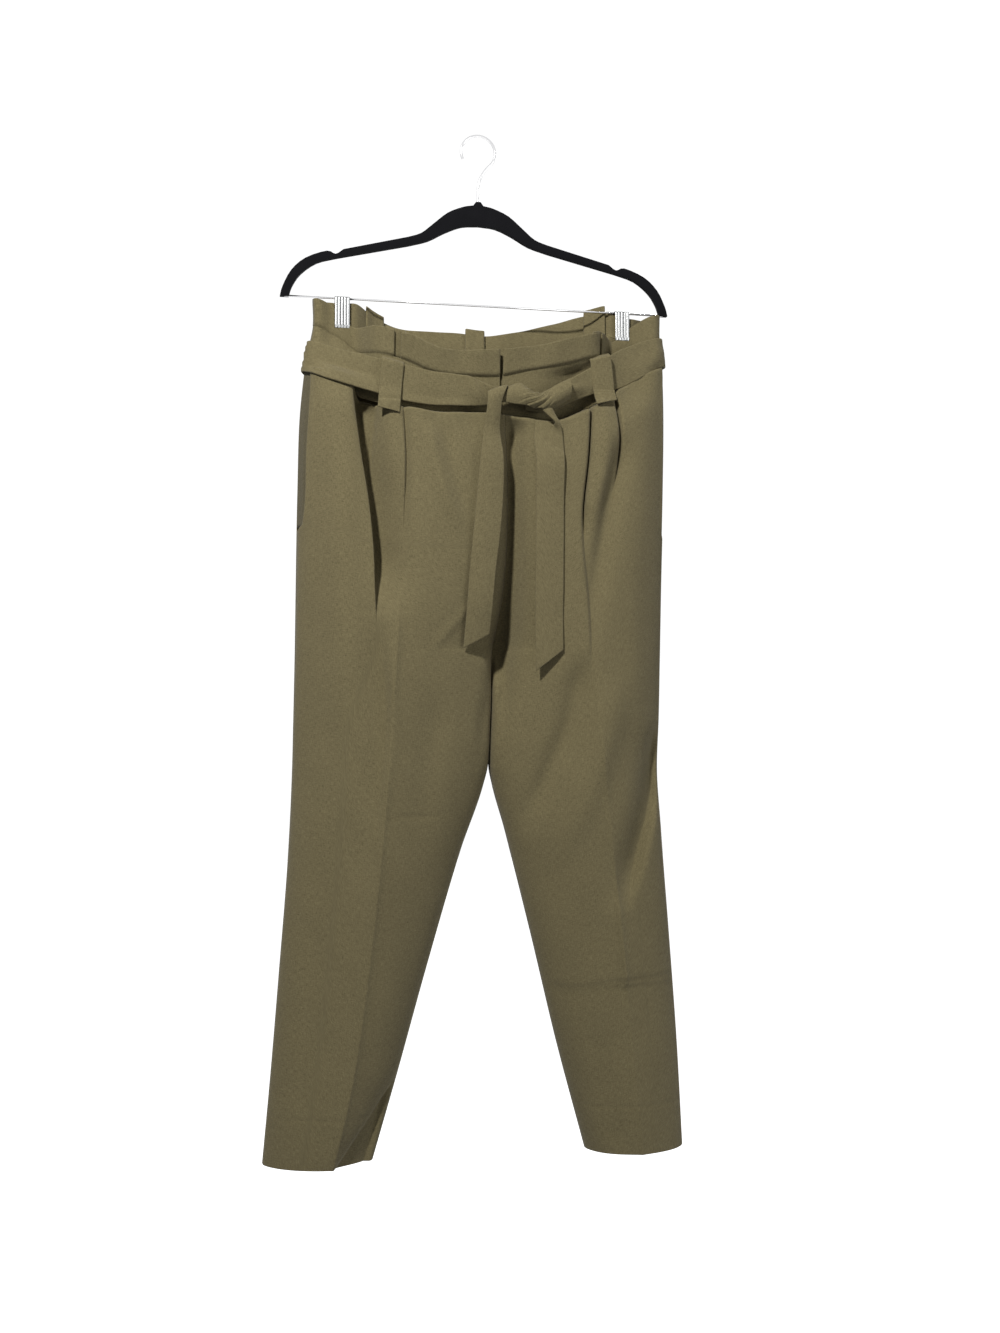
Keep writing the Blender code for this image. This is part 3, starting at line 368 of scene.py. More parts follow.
def groove(x, drop, points, rise, left, right, top, bottom, power=2.0):
    """Rise (or fall, if negative) along a line of (drop, x) points."""
    aside = x - curve(points, drop)
    width = np.where(aside < 0.0, left, right)
    fade = smooth((drop - points[0][0]) / top) * smooth((points[-1][0] - drop) / bottom)
    return rise * fade * np.exp(-np.abs(aside / width) ** power)


def cliff(x, drop, points, fall, back, top, bottom, lip=0.0014):
    """A fold whose edge stands proud of the cloth to its right, which rises again slowly."""
    beyond = x - curve(points, drop)
    fade = smooth((drop - points[0][0]) / top) * smooth((points[-1][0] - drop) / bottom)
    under = smooth(beyond / lip) * bell(np.maximum(beyond - lip, 0.0), back)
    rolled = lip * decay(-beyond, 0.0030) * (1.0 - smooth(beyond / lip))
    return -fade * (fall * under + rolled)


def band(x, drop, points, rise, width, side_fade):
    """Rise along a line across the cloth, given as (x, drop) points."""
    fade = smooth((x - points[0][0]) / side_fade) * smooth((points[-1][0] - x) / side_fade)
    return rise * fade * bell(drop - curve(points, x), width)


def ripple(x, drop, seed):
    """Gentle unevenness of hanging cloth."""
    a = np.sin(x * 61.0 + drop * 17.0 + seed) * np.sin(drop * 23.0 + seed * 2.1)
    b = np.sin(x * 113.0 - drop * 31.0 + seed * 1.7) * np.sin(drop * 41.0 + x * 19.0 + seed)
    c = np.sin(x * 37.0 - drop * 9.0 + seed * 0.6)
    return 0.00055 * a + 0.00035 * b + 0.0006 * c


# (drop, x) of the edge of each front's main fold, which one column of the mesh follows
MAIN_FOLD = {
    "left": milli([
        (300, -148), (320, -146), (380, -138.5), (440, -129), (495, -123.5), (543, -122),
        (580, -120.5),
    ]),
    "right": milli([(310, 156), (340, 158.8), (363, 159.8), (390, 158), (430, 148)]),
}
# Where the two legs meet at the front
CENTRE_FOLD = ((-21, 12, 14, 30, 100), [
    (330, 36), (380, 34.5), (550, 33.5), (602, 29), (649, 20.7), (681, 13.5), (750, 8),
])
# The other folds of each panel: rise, width to the left and to the right, fade at the top and
# at the bottom, for a sharp one the power of its flanks, and then its (drop, x) points
FOLDS = {
    ("front", "left"): {
        "valley": ((-8, 20, 6.5, 100, 220), [
            (540, -117), (600, -115), (700, -110), (760, -117), (880, -125),
        ]),
        "broad": ((6, 24, 18, 20, 250), [(280, -168), (360, -164), (520, -157), (840, -152)]),
        "inner_pleat": ((-5, 1.4, 5, 4, 120), [
            (322, -90.5), (384, -86.9), (468, -88.8), (520, -90.5),
        ]),
        "outer_pleat": ((-6, 4.5, 1.6, 4, 70), [(320, -118), (389, -124.7), (430, -126)]),
        "panel": ((3.4, 10, 12, 10, 100), [(325, -105), (390, -105), (470, -103)]),
        "drag": ((4, 7, 9, 30, 50), [(345, -63), (407, -52.2), (484, -25.2)]),
        "beside": ((-3.4, 9, 10, 30, 50), [(340, -45), (400, -33), (470, -12)]),
        "thigh": ((1.4, 6, 6, 15, 20), [(548, -14), (562, -21.7), (594, -48.4), (612, -60)]),
        "knee": ((-2.4, 20, 18, 50, 80), [(640, -50), (740, -62), (860, -82)]),
        "shin": ((-2, 16, 20, 60, 80), [(880, -178), (1000, -186), (1120, -196)]),
    },
    ("front", "right"): {
        "inner": ((-10.5, 2, 2, 4, 60, 1600), [
            (316, 126.3), (376, 122.3), (456, 113.9), (486, 114.5),
        ]),
        "inner_low": ((-4.2, 3, 10, 30, 80), [
            (430, 115.5), (485, 115), (547, 120.6), (655, 122.8),
        ]),
        "outer_low": ((-9, 10, 13, 40, 100), [
            (350, 161), (381, 157), (456, 139.5), (501, 132.3), (590, 124),
        ]),
        "panel": ((4.6, 9, 10, 8, 90), [(320, 142), (380, 140), (440, 129), (500, 123)]),
        "outside": ((2.8, 22, 18, 30, 120), [
            (300, 190), (400, 185), (520, 172), (660, 176), (760, 200),
        ]),
        "diagonal": ((-9, 15, 15, 50, 70), [
            (600, 115), (627.5, 109.9), (685.6, 98.3), (734.5, 78.8), (820, 46),
        ]),
        "above": ((5.5, 18, 18, 60, 80), [(620, 150), (700, 140), (770, 115), (860, 85)]),
        "hollow": ((-16, 22, 8.5, 40, 70), [
            (680, 215), (710.3, 211), (752.1, 202), (793.7, 190), (829.5, 178), (905, 156),
        ]),
        "shin": ((-2, 14, 14, 50, 30), [(1000, 120), (1080, 138), (1168, 150)]),
    },
    ("back", "left"): {
        "seat": ((-7, 18, 22, 60, 120), [(400, -30), (470, -60), (560, -95), (720, -135)]),
        "under": ((-3.5, 16, 12, 40, 50), [(600, -20), (640, -52), (680, -90), (710, -120)]),
        "calf": ((-6, 20, 10, 80, 120), [(640, -158), (780, -120), (960, -116)]),
        "dart": ((-1.6, 1.4, 1.4, 4, 30), [(296, -88), (345, -88), (400, -89)]),
        "ridge": ((4.5, 20, 20, 50, 120), [(330, -165), (480, -160), (640, -175)]),
    },
    ("back", "right"): {
        "seat": ((-6.5, 22, 16, 60, 100), [(410, 40), (480, 75), (580, 110), (700, 160)]),
        "under": ((-3.5, 12, 16, 40, 50), [(590, 40), (630, 66), (670, 105), (700, 140)]),
        "calf": ((-6, 12, 20, 80, 120), [(660, 118), (800, 150), (980, 152)]),
        "dart": ((-1.6, 1.4, 1.4, 4, 30), [(292, 96), (345, 96), (400, 97)]),
        "ridge": ((4.5, 20, 18, 50, 120), [(330, 180), (480, 176), (640, 186)]),
    },
}
# Lines pressed across the cloth: rise, width, fade at the sides, and (x, drop) points
KNEE_LINE = [(60, 979), (72.4, 979.1), (103, 982.2), (143.1, 975.7), (232, 972.2)]
BANDS = {
    ("front", "left"): [
        ((-0.5, 2.4, 20), [(-150, 563.2), (-78, 561.8)]),
        ((-0.6, 2.6, 30), [(-106, 788.9), (-30, 788)]),
    ],
    ("front", "right"): [((-1.1, 3, 20), KNEE_LINE)],
    ("back", "left"): [((-1.1, 3, 12), [(-200, 985), (-120, 979), (-80, 982)])],
    ("back", "right"): [((-1.1, 3, 12), [(90, 972), (150, 977), (215, 970)])],
}
# Just under the waistband: how far the cloth stands out, over what drop it comes out and dies
# away, and how far its top edge is drawn in
FULLNESS = {"front": (0.0066, 0.005, 0.050, 0.0065), "back": (0.0035, 0.006, 0.040, 0.0028)}
RIPPLE_SEED = {
    ("front", "left"): 0.3, ("front", "right"): 1.6, ("back", "left"): 2.2, ("back", "right"): 3.5,
}


def turned_hem(x, drop):
    """The inner corner of the left hem, turned back along a slanting line."""
    line_drop, line_x = 1.0862, -0.1029          # a point of the line, and its direction
    fall, run = 0.0841, 0.062
    across = ((drop - line_drop) * run + (x - line_x) * fall) / math.hypot(fall, run)
    low = smooth((drop - 1.060) / 0.04)
    turned = smooth(across / 0.0030) * low
    return -(0.0120 * turned + 0.0055 * decay(-across, 0.010) * low * (1.0 - turned))


def below_knee_line(x, drop):
    """The right leg's cloth steps in a little under its knee line."""
    line = curve(milli(KNEE_LINE), x)
    lower = smooth((drop - line) / 0.006) * decay(drop - 0.98, 0.10)
    return -0.0016 * lower * decay(0.98 - drop, 0.004)


def relief(face, side, x, drop, crease):
    """The creases and folds of one panel, each placed one by one."""
    panel = (face, side)
    below = drop - LEVELS[face].read("body", x)
    total = ripple(x, drop, RIPPLE_SEED[panel])
    firm = 1.0
    if panel == ("front", "right"):
        firm = 0.30 + 0.9 * smooth((drop - 0.82) / 0.05) * smooth((0.987 - drop) / 0.02)
    pressed = 0.0038 * smooth((drop - 0.52) / 0.10) * firm
    total = total + pressed * decay(np.abs(x - crease), 0.006)
    total = total - 0.0006 * bell(drop - HEM_STITCH, 0.0016)
    rise, start, fade, tuck = FULLNESS[face]
    full = rise * smooth((below + 0.001) / start) * decay(below - 0.004, fade)
    if face == "front":
        scallop = 1.0 + 0.20 * np.sin(x * 165.0 + 0.8) + 0.12 * np.sin(x * 71.0)
        full = full * scallop * smooth((0.178 - x) / 0.030)
    total = total + full - tuck * (1.0 - smooth(below / 0.004))
    folds = list(FOLDS[panel].values()) + [CENTRE_FOLD] * (face == "front")
    for shape, points in folds:
        total = total + groove(x, drop, milli(points), *milli(shape))
    for shape, points in BANDS[panel]:
        total = total + band(x, drop, milli(points), *milli(shape))
    if panel == ("front", "left"):
        total = total + cliff(x, drop, MAIN_FOLD["left"], fall=0.0300, back=0.030,
                              top=0.038, bottom=0.085)
        total = total + turned_hem(x, drop)
    elif panel == ("front", "right"):
        main = groove(x, drop, MAIN_FOLD["right"], -0.0095, 0.0020, 0.0020, 0.004, 0.060, 1.6)
        total = total + main + below_knee_line(x, drop)
    return total


def cloth_out(face, x, drop):
    """Outward distance of whatever cloth is at this place."""
    below = level_below(face, x, drop)
    upper = waist_out(face, x, np.minimum(below, BODY_BELOW))
    safe = np.maximum(drop, LEVELS[face].read("body", x))
    left, right = (body_out(face, side, x, safe) for side in SIDES)
    return np.where(below < BODY_BELOW, upper, np.where(x < CENTRE_FRONT, left, right))


# ---------------------------------------------------------------- meshes


def unit(vectors):
    return vectors / np.maximum(np.linalg.norm(vectors, axis=-1, keepdims=True), 1e-12)


def grid_normals(grid):
    return unit(np.cross(np.gradient(grid, axis=1), np.gradient(grid, axis=0)))


def lengths_from_start(grid, axis):
    steps = np.linalg.norm(np.diff(grid, axis=axis), axis=-1)
    shape = list(steps.shape)
    shape[axis] = 1
    return np.concatenate([np.zeros(shape), np.cumsum(steps, axis=axis)], axis=axis)


def rim_profile(distance, radius):
    """Share of the full thickness at a distance from a turned edge."""
    near = np.clip(distance / radius, 0.0, 1.0)
    return np.sqrt(np.maximum(1.0 - (1.0 - near) ** 2, 0.0))


def add(name, data):
    thing = bpy.data.objects.new(name, data)
    bpy.context.collection.objects.link(thing)
    return thing


def mesh_of(bm, name):
    mesh = bpy.data.meshes.new(name)
    bm.to_mesh(mesh)
    bm.free()
    return mesh


def shade_smooth(mesh):
    mesh.polygons.foreach_set("use_smooth", np.ones(len(mesh.polygons), dtype=bool))


def stands_for(piece, cad_node):
    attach(piece, "root")
    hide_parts(cad_node)


def shell(name, grid, thick, rims=()):
    """Closed thin shell on a grid of middle points; named edges are rounded over."""
    rows, cols = grid.shape[:2]
    normals = grid_normals(grid)
    across = lengths_from_start(grid, 1)
    down = lengths_from_start(grid, 0)
    half = np.full((rows, cols), thick / 2.0)
    distances = {
        "top": down, "bottom": down[-1:] - down,
        "start": across, "end": across[:, -1:] - across,
    }
    for rim in rims:
        half *= np.maximum(rim_profile(distances[rim], thick * 0.55), 0.06)
    offset = normals * half[..., None]
    points = np.concatenate([(grid + offset).reshape(-1, 3), (grid - offset).reshape(-1, 3)])
    near = np.arange(rows * cols).reshape(rows, cols)
    far = near + rows * cols
    strips = [
        (near[:-1, :-1], near[1:, :-1], near[1:, 1:], near[:-1, 1:]),
        (far[:-1, :-1], far[:-1, 1:], far[1:, 1:], far[1:, :-1]),
        (near[:-1, 0], far[:-1, 0], far[1:, 0], near[1:, 0]),
        (near[:-1, -1], near[1:, -1], far[1:, -1], far[:-1, -1]),
        (near[0, :-1], near[0, 1:], far[0, 1:], far[0, :-1]),
        (near[-1, :-1], far[-1, :-1], far[-1, 1:], near[-1, 1:]),
    ]
    faces = np.concatenate([np.stack(strip, -1).reshape(-1, 4) for strip in strips])
    flat = np.stack([across, down], -1).reshape(-1, 2)
    flat = np.concatenate([flat, flat])
    mesh = bpy.data.meshes.new(name)
    mesh.from_pydata(points.tolist(), [], faces.tolist())
    layer = mesh.uv_layers.new(name="cut")
    loops = np.empty(len(mesh.loops), dtype=np.int32)
    mesh.loops.foreach_get("vertex_index", loops)
    layer.data.foreach_set("uv", flat[loops].astype(np.float32).ravel())
    shade_smooth(mesh)
    mesh.update()
    bm = bmesh.new()
    bm.from_mesh(mesh)
    if bm.calc_volume(signed=True) < 0.0:
        bmesh.ops.reverse_faces(bm, faces=bm.faces[:])
    bm.to_mesh(mesh)
    bm.free()
    return add(name, mesh)


def cloth_piece(name, cad_node, grid, thick, rims=()):
    """A shell that stands for one CAD node."""
    piece = shell(name, grid, thick, rims)
    # pocket facings get a darker copy of the suiting: painted shade
    piece.data.materials.append(SHADED_FACING_MATERIAL if "pocket" in name else CLOTH_MATERIAL)
    stands_for(piece, cad_node)


def eased(count, edge):
    """Positions from 0 to 1 with a few more close to both ends."""
    steps = np.array([0.08, 0.25, 0.5, 0.8]) * edge
    extra = np.concatenate([steps, 1.0 - steps])
    keep = [
        t for t in np.linspace(0.0, 1.0, count + 1)
        if t in (0.0, 1.0) or np.abs(t - extra).min() > edge * 0.1
    ]
    return np.array(sorted(set(keep) | set(extra)))


# ---------------------------------------------------------------- materials


def set_inputs(made, **values):
    for name, value in values.items():
        made.inputs[name.replace("_", " ")].default_value = value


def node(tree, kind, **values):
    made = tree.nodes.new(kind)
    set_inputs(made, **values)
    return made


def maths(tree, operation, a, b=None):
    made = tree.nodes.new("ShaderNodeMath")
    made.operation = operation
    for socket, value in zip(made.inputs, (a, b)):
        if value is None:
            continue
        if isinstance(value, (int, float)):
            socket.default_value = value
        else:
            tree.links.new(value, socket)
    return made.outputs[0]


def blank_material(name):
    material = bpy.data.materials.new(name)
    material.use_nodes = True
    return material, material.node_tree, material.node_tree.nodes["Principled BSDF"]


def noise(tree, vector, scale, detail, roughness):
    made = node(tree, "ShaderNodeTexNoise", Scale=scale, Detail=detail, Roughness=roughness)
    tree.links.new(vector, made.inputs["Vector"])
    return made.outputs["Fac"]


def added(tree, *parts):
    """Sum of sockets, of plain numbers, and of (socket, share) pairs multiplied."""
    total = None
    for part in parts:
        if isinstance(part, tuple):
            part = maths(tree, "MULTIPLY", *part)
        total = part if total is None else maths(tree, "ADD", total, part)
    return total


def colour_ramp(tree, shader, value, dark, light, low=0.0, high=1.0):
    ramp = tree.nodes.new("ShaderNodeValToRGB")
    for element, place, colour in zip(ramp.color_ramp.elements, (low, high), (dark, light)):
        element.position = place
        element.color = (*colour, 1.0)
    tree.links.new(value, ramp.inputs[0])
    tree.links.new(ramp.outputs[0], shader.inputs["Base Color"])


def bumped(tree, shader, height, strength, distance):
    bump = node(tree, "ShaderNodeBump", Strength=strength, Distance=distance)
    tree.links.new(height, bump.inputs["Height"])
    tree.links.new(bump.outputs[0], shader.inputs["Normal"])


def cloth_material(name, dark, light):
    """Matt plain-weave suiting: crossed yarns, slubs along both, and slow shade changes."""
    material, tree, shader = blank_material(name)
    place = tree.nodes.new("ShaderNodeUVMap")
    place.uv_map = "cut"
    uv = place.outputs["UV"]
    split = tree.nodes.new("ShaderNodeSeparateXYZ")
    tree.links.new(uv, split.inputs[0])
    yarns = [
        maths(tree, "SINE", maths(tree, "MULTIPLY", split.outputs[k], 2 * math.pi / YARN))
        for k in (0, 1)
    ]
    weave = maths(tree, "MULTIPLY", *yarns)
    streaks = []
    for scale in ((1100.0, 190.0, 1.0), (190.0, 1100.0, 1.0)):
        mapping = node(tree, "ShaderNodeMapping", Scale=scale)
        tree.links.new(uv, mapping.inputs["Vector"])
        streaks.append(noise(tree, mapping.outputs[0], 1.0, 2.0, 0.6))
    slubs = added(tree, *streaks)
    slow = noise(tree, uv, 26.0, 3.0, 0.55)
    grain = noise(tree, uv, 620.0, 3.0, 0.7)
    shade = added(tree, (slubs, 0.42), (grain, 0.34), (slow, 0.08), (weave, 0.035))
    colour_ramp(tree, shader, shade, dark, light, 0.42, 0.82)
    bumped(tree, shader, added(tree, (weave, 0.35), slubs, grain), 0.55, 0.00022)
    tree.links.new(added(tree, (grain, 0.16), 0.76), shader.inputs["Roughness"])
    set_inputs(shader, Specular_IOR_Level=0.10, Sheen_Weight=0.10, Sheen_Roughness=0.55)
    return material


def velvet_material():
    """Short black pile, a little worn in places."""
    material, tree, shader = blank_material("black_velvet_flock")
    place = tree.nodes.new("ShaderNodeTexCoord").outputs["Object"]
    pile = noise(tree, place, 1400.0, 2.0, 0.7)
    wear = noise(tree, place, 45.0, 3.0, 0.5)
    shade = added(tree, (pile, 0.55), (wear, 0.45))
    colour_ramp(tree, shader, shade, (0.0022, 0.0022, 0.0028), (0.0090, 0.0090, 0.0110))
    bumped(tree, shader, pile, 0.5, 0.0002)
    set_inputs(shader, Roughness=0.95, Specular_IOR_Level=0.08, Sheen_Weight=0.06,
               Sheen_Roughness=0.35)
    return material


def metal_material(name, colour, rough):
    """Bright metal with fine scratches."""
    material, tree, shader = blank_material(name)
    place = tree.nodes.new("ShaderNodeTexCoord").outputs["Object"]
    scratch = noise(tree, place, 520.0, 3.0, 0.6)
    tree.links.new(added(tree, (scratch, 0.12), rough), shader.inputs["Roughness"])
    colour_ramp(tree, shader, scratch, [c * 0.86 for c in colour], colour)
    bumped(tree, shader, scratch, 0.05, 0.0001)
    set_inputs(shader, Metallic=1.0)
    return material


YARN = 0.0009              # two yarns of the weave
CLOTH_MATERIAL = cloth_material("olive_suiting", (0.088, 0.073, 0.036), (0.215, 0.182, 0.094))
# The same suiting made darker, as painted shade on the pocket facings
SHADED_FACING_MATERIAL = cloth_material("olive_suiting_painted_shade", (0.058, 0.049, 0.026), (0.130, 0.112, 0.063))
VELVET_MATERIAL = velvet_material()
CHROME_MATERIAL = metal_material("bright_chrome", (0.74, 0.74, 0.75), 0.08)
STEEL_MATERIAL = metal_material("clip_steel", (0.52, 0.53, 0.53), 0.22)
# Near-black metal for the clips' grooves: painted shade between the ribs
GROOVE_SHADE_MATERIAL = metal_material("clip_groove_painted_shade", (0.035, 0.035, 0.035), 0.45)


# ---------------------------------------------------------------- leg panels


FOLD_SHARE = {"left": 0.62, "right": 0.72}      # the column that follows the main fold


def toward_crease(share):
    """Place between side seam and crease, with the columns closer near the seam."""
    share = np.clip(share, 0.0, 1.0)
    return mix(share, 1.0 - np.cos(np.pi / 2 * share), 0.60)


def along_fold(side, level, place):
    """Shifts the columns outside the crease so that one of them lies along the main fold."""
    points = MAIN_FOLD[side]
    drop = drop_of(float(LEVELS["front"].read("body", points[0][1])), level)
    outer, crease = outline(side, level)
    usual = float(toward_crease(FOLD_SHARE[side]))
    line = np.clip((curve(points, drop) - outer) / (crease - outer), 0.20, 0.93)
    line = mix(line, usual, smooth((drop - points[-1][0]) / 0.120))
    beyond = 1.0 - (1.0 - place) * (1.0 - line) / (1.0 - usual)
    return np.where(place < usual, place * line / usual, beyond)


def packed_shares(count, centre, spread, strength):
    """Positions from 0 to 1, closest together round one of them."""
    t = np.linspace(0.0, 1.0, 2001)
    density = 1.0 + strength * bell(t - centre, spread)
    total = np.concatenate([[0.0], np.cumsum((density[1:] + density[:-1]) / 2.0)])
    return np.interp(np.linspace(0.0, total[-1], count + 1), total, t)


def panel_x(side, face, level, share):
    """x of a column: share 0 is the side seam, 1 the crease and 2 the inner edge."""
    outer, crease = outline(side, level)
    inner = inner_line(side, face, level)
    place = toward_crease(share)
    if face == "front":
        place = along_fold(side, level, place)
    first = mix(outer, crease, place)
    rest = np.clip(share - 1.0, 0.0, 1.0)
    inward = mix(rest, np.sin(np.pi / 2 * rest), 0.75 * cleft_at(face, level))
    second = mix(crease, inner, inward)
    return np.where(share <= 1.0, first, second)


POCKET_IN = milli([(278, 4), (295, 6.8), (325, 8.8), (384, 8), (455, 6.4), (466, 5)])
POCKET_SHARE = {"left": 1.0, "right": 0.6}      # how much of it each side has
FACING_WIDTH = 0.026
FACING_UNDER = 0.0026      # the facing lies this far under the front panel


def pocket_gap(drop):
    """How far the pocket's edge lies inside the side seam, seen from the front."""
    return curve(POCKET_IN, drop) * smooth((POCKET_END + 0.004 - drop) / 0.006)


def leg_panel(face, side):
    """Grid of a leg panel, closer at the crease, the main fold, the top and the hem."""
    columns, rows = PANEL_GRID[face]
    if face == "front":
        outside = packed_shares(columns, FOLD_SHARE[side], 0.05, 5.0)
        inside = packed_shares(columns, 0.05, 0.04, 2.5)
    else:
        outside = inside = np.linspace(0.0, 1.0, columns + 1)
    share = np.concatenate([outside[:-1], 1.0 + inside])
    upper, hem = BODY_TOP + 0.014, HEM - 0.004
    levels = np.concatenate([
        np.linspace(BODY_TOP, upper, 9)[:-1],
        np.linspace(upper, hem, rows),
        hem + 0.004 * np.array([0.35, 0.65, 0.85, 0.95, 1.0]),
    ])
    share, level = np.meshgrid(share, levels)
    x = panel_x(side, face, level, share)
    drop = drop_of(LEVELS[face].read("body", x), level)
    lifted = 0.0
    if face == "front":
        push = pocket_gap(drop) * np.clip(1.0 - share * 1.6, 0.0, 1.0) * POCKET_SHARE[side]
        x = x + INWARDS[side] * push
        lifted = 0.0022 * np.exp(-share * 22.0) * smooth((POCKET_END - drop) / 0.01)
    return outwards(face, x, body_out(face, side, x, drop) + lifted, drop)


def facing(side):
    """Grid of the strip behind the pocket's edge, tucked under the front panel."""
    a, d = np.meshgrid(np.linspace(0.0, 1.0, 22) ** 1.5, np.linspace(0.0, 1.0, 50))
    corner = LEVELS["front"].read("body", WAIST.read(side, 0.0))
    drop = mix(float(corner) + 0.001, POCKET_END, d)
    outer = side_x(side, drop)
    x = outer + INWARDS[side] * mix(0.0001, FACING_WIDTH, a)
    inside = np.abs(x - outer)
    drop = np.maximum(drop, LEVELS["front"].read("body", x) + 0.001)
    out = body_out("front", side, x, drop) - FACING_UNDER * smooth((inside - 0.002) / 0.004)
    out = np.minimum(out, 0.0004 + 2.1 * inside)
    return outwards("front", x, np.maximum(out, LEAST_OUT), drop)


def build_panels():
    for side in SIDES:
        cloth_piece(f"front_panel_{side}", f"front_{side}", leg_panel("front", side),
                    CLOTH, ["bottom", "start"])
        cloth_piece(f"back_panel_{side}", f"back_{side}", leg_panel("back", side),
                    CLOTH, ["bottom"])
        cloth_piece(f"pocket_facing_shell_{side}", f"pocket_facing_{side}", facing(side),
                    CLOTH)


# ---------------------------------------------------------------- waist


def rounded_path(points, times):
    """Corner cutting on an open line of points."""
    points = np.array(points, float)
    for _ in range(times):
        a = 0.75 * points[:-1] + 0.25 * points[1:]
        b = 0.25 * points[:-1] + 0.75 * points[1:]
        middle = np.empty((2 * len(a), points.shape[1]))
        middle[0::2] = a
        middle[1::2] = b
        points = np.concatenate([points[:1], middle[1:-1], points[-1:]])
    return points


# The two sides of a folded pleat of the frill: distance from its middle and layers down, the
# first one less firm.  The left front pleat opens wider towards the centre.
PLEAT_OPENING = {
    "usual": [(14, 0), (6, 0), (3.2, 0), (2.1, 0.1), (2.3, 1), (4.5, 1)],
    "wide": [(16, 0), (10.5, 0), (8, 0), (6.8, 0.1), (7, 1), (8.5, 1)],
}
PLEAT_RETURN = [(10, 1), (11, 1.35), (10, 2), (5, 2)]


def pleat_side(opening, pleat, outwards_sign):
    """(x, depth, weight) along one side of a pleat, from its opening to its middle."""
    points = PLEAT_OPENING[opening] + PLEAT_RETURN
    return [
        (pleat + outwards_sign * aside / 1000.0, layers * PLEAT_LAYER, 0.6 if k == 0 else 1.0)
        for k, (aside, layers) in enumerate(points)
    ]


def waist_columns(face, left, right, pleated, step=0.0022):
    """x along the seam, folded depth and weight of each column of a frill or waistband."""
    count = int(round((right - left) / step))
    plain = [(x, 0.0, 0.0) for x in mix(left, right, np.linspace(0.0, 1.0, count + 1))]
    if not pleated:
        return np.array(plain)
    edge = PLEAT_HALF + 0.003
    pieces = []
    for pleat in PLEATS[face]:
        if not left + edge < pleat < right - edge:
            continue
        low = [p for p in plain if p[0] < pleat - edge]
        plain = [p for p in plain if p[0] > pleat + edge + 0.002]
        wide = "wide" if pleat < 0.0 and face == "front" else "usual"
        path = pleat_side("usual", pleat, -1.0) + [(pleat, 2 * PLEAT_LAYER, 1.0)]
        path += pleat_side(wide, pleat, 1.0)[::-1]
        pieces += low + [tuple(p) for p in rounded_path(path, 2)]
    return np.array(pieces + plain)


def frill_wave(face, x, t):
    """Soft unevenness of the standing frill; t runs from its top edge to its seam."""
    free = (1.0 - t) ** 0.8
    if face == "front":
        wave = 0.0016 * np.sin(x * 75.0 + 0.5) + 0.0010 * np.sin(x * 143.0 + 1.9)
    else:
        wave = 0.0014 * np.sin(x * 66.0 + 2.0) + 0.0008 * np.sin(x * 131.0 + 0.4)
    return wave * free


def waist_piece(face, left, right, levels, pleated):
    """Grid of a frill (levels 0 to 1, pleated) or a waistband (levels 1 to 2)."""
    columns = waist_columns(face, left, right, pleated)
    x_low, level = np.meshgrid(columns[:, 0], levels)
    depth, within = (np.meshgrid(columns[:, k], levels)[0] for k in (1, 2))
    below = np.interp(level, [0.0, 1.0, 2.0], WAIST_SCALE)
    centre = CENTRE_FRONT if face == "front" else CENTRE_BACK
    ends = [
        np.where(x_low < centre, WAIST.read("left", at), WAIST.read("right", at))
        for at in (BODY_BELOW, below)
    ]
    narrower = (ends[1] - centre) / (ends[0] - centre)
    slide = smooth(np.abs((x_low - centre) / (ends[0] - centre)) * 2.0 - 1.0)
    x = centre + (x_low - centre) * mix(1.0, narrower, slide)
    if face == "front":
        gap = SLIT_HALF * np.interp(level, [0.0, 1.0, 2.0], [1.2, 0.8, 0.4])
        x = np.minimum(x, centre - gap) if right < 0.1 else np.maximum(x, centre + gap)
    top, seam, body = LEVELS[face].waist_drops(x)
    drop = np.where(level <= 1.0, mix(top, seam, level), mix(seam, body, level - 1.0))
    surface = waist_out(face, x, below)
    if pleated:
        t = np.clip(level, 0.0, 1.0)
        full = 0.0025 * smooth((1.0 - t) / 0.10) * (1.0 - 0.6 * pinch(x, below))
        surface = surface + full + frill_wave(face, x, t) * (1.0 - pinch(x, below))
        taller = 0.0030 if face == "front" else 0.0055
        drop = drop - np.where(depth > 1.5 * PLEAT_LAYER, taller * (1.0 - t), 0.0)
        clear = np.maximum(surface - 2 * PLEAT_LAYER, 0.0010) + 2 * PLEAT_LAYER
        surface = np.where(within > 0.5, np.maximum(surface, clear), surface) - depth
    return outwards(face, x, surface, drop)


def build_waist():
    frill_levels = np.concatenate([
        [0.0, 0.004, 0.012, 0.024, 0.040], np.linspace(0.07, 0.90, 12), [0.94, 0.97, 0.99, 1.0],
    ])
    band_levels = np.concatenate([[1.0, 1.01, 1.03], np.linspace(1.08, 2.0, 14)])
    left, right = (float(WAIST.read(side, BODY_BELOW)) for side in SIDES)
    for name, face, start, end, rims in (
        ("front_left", "front", left, CENTRE_FRONT, ["top", "end"]),
        ("front_right", "front", CENTRE_FRONT, right, ["top", "start"]),
        ("back", "back", left, right, ["top"]),
    ):
        cloth_piece(f"paperbag_frill_{name}", f"frill_{name}",
                    waist_piece(face, start, end, frill_levels, True),
                    FRILL_CLOTH, rims)
        cloth_piece(f"waistband_shell_{name}", f"waistband_{name}",
                    waist_piece(face, start, end, band_levels, False),
                    CLOTH)


FLY_TOP, FLY_END = 0.268, 0.470
FLY_LINE = milli([(300, 21.5), (338, 23.5), (400, 29), (470, 30)])


def fly_strip(left, right, under):
    """Grid of a strip that lies behind the fly's slit."""
    down = mix(FLY_TOP, FLY_END, np.linspace(0.0, 1.0, 60))
    aside, drop = np.meshgrid(np.linspace(left, right, 10), down)
    x = aside + np.where(drop > 0.338, curve(FLY_LINE, drop), CENTRE_FRONT)
    return outwards("front", x, cloth_out("front", x, drop) - under, drop)


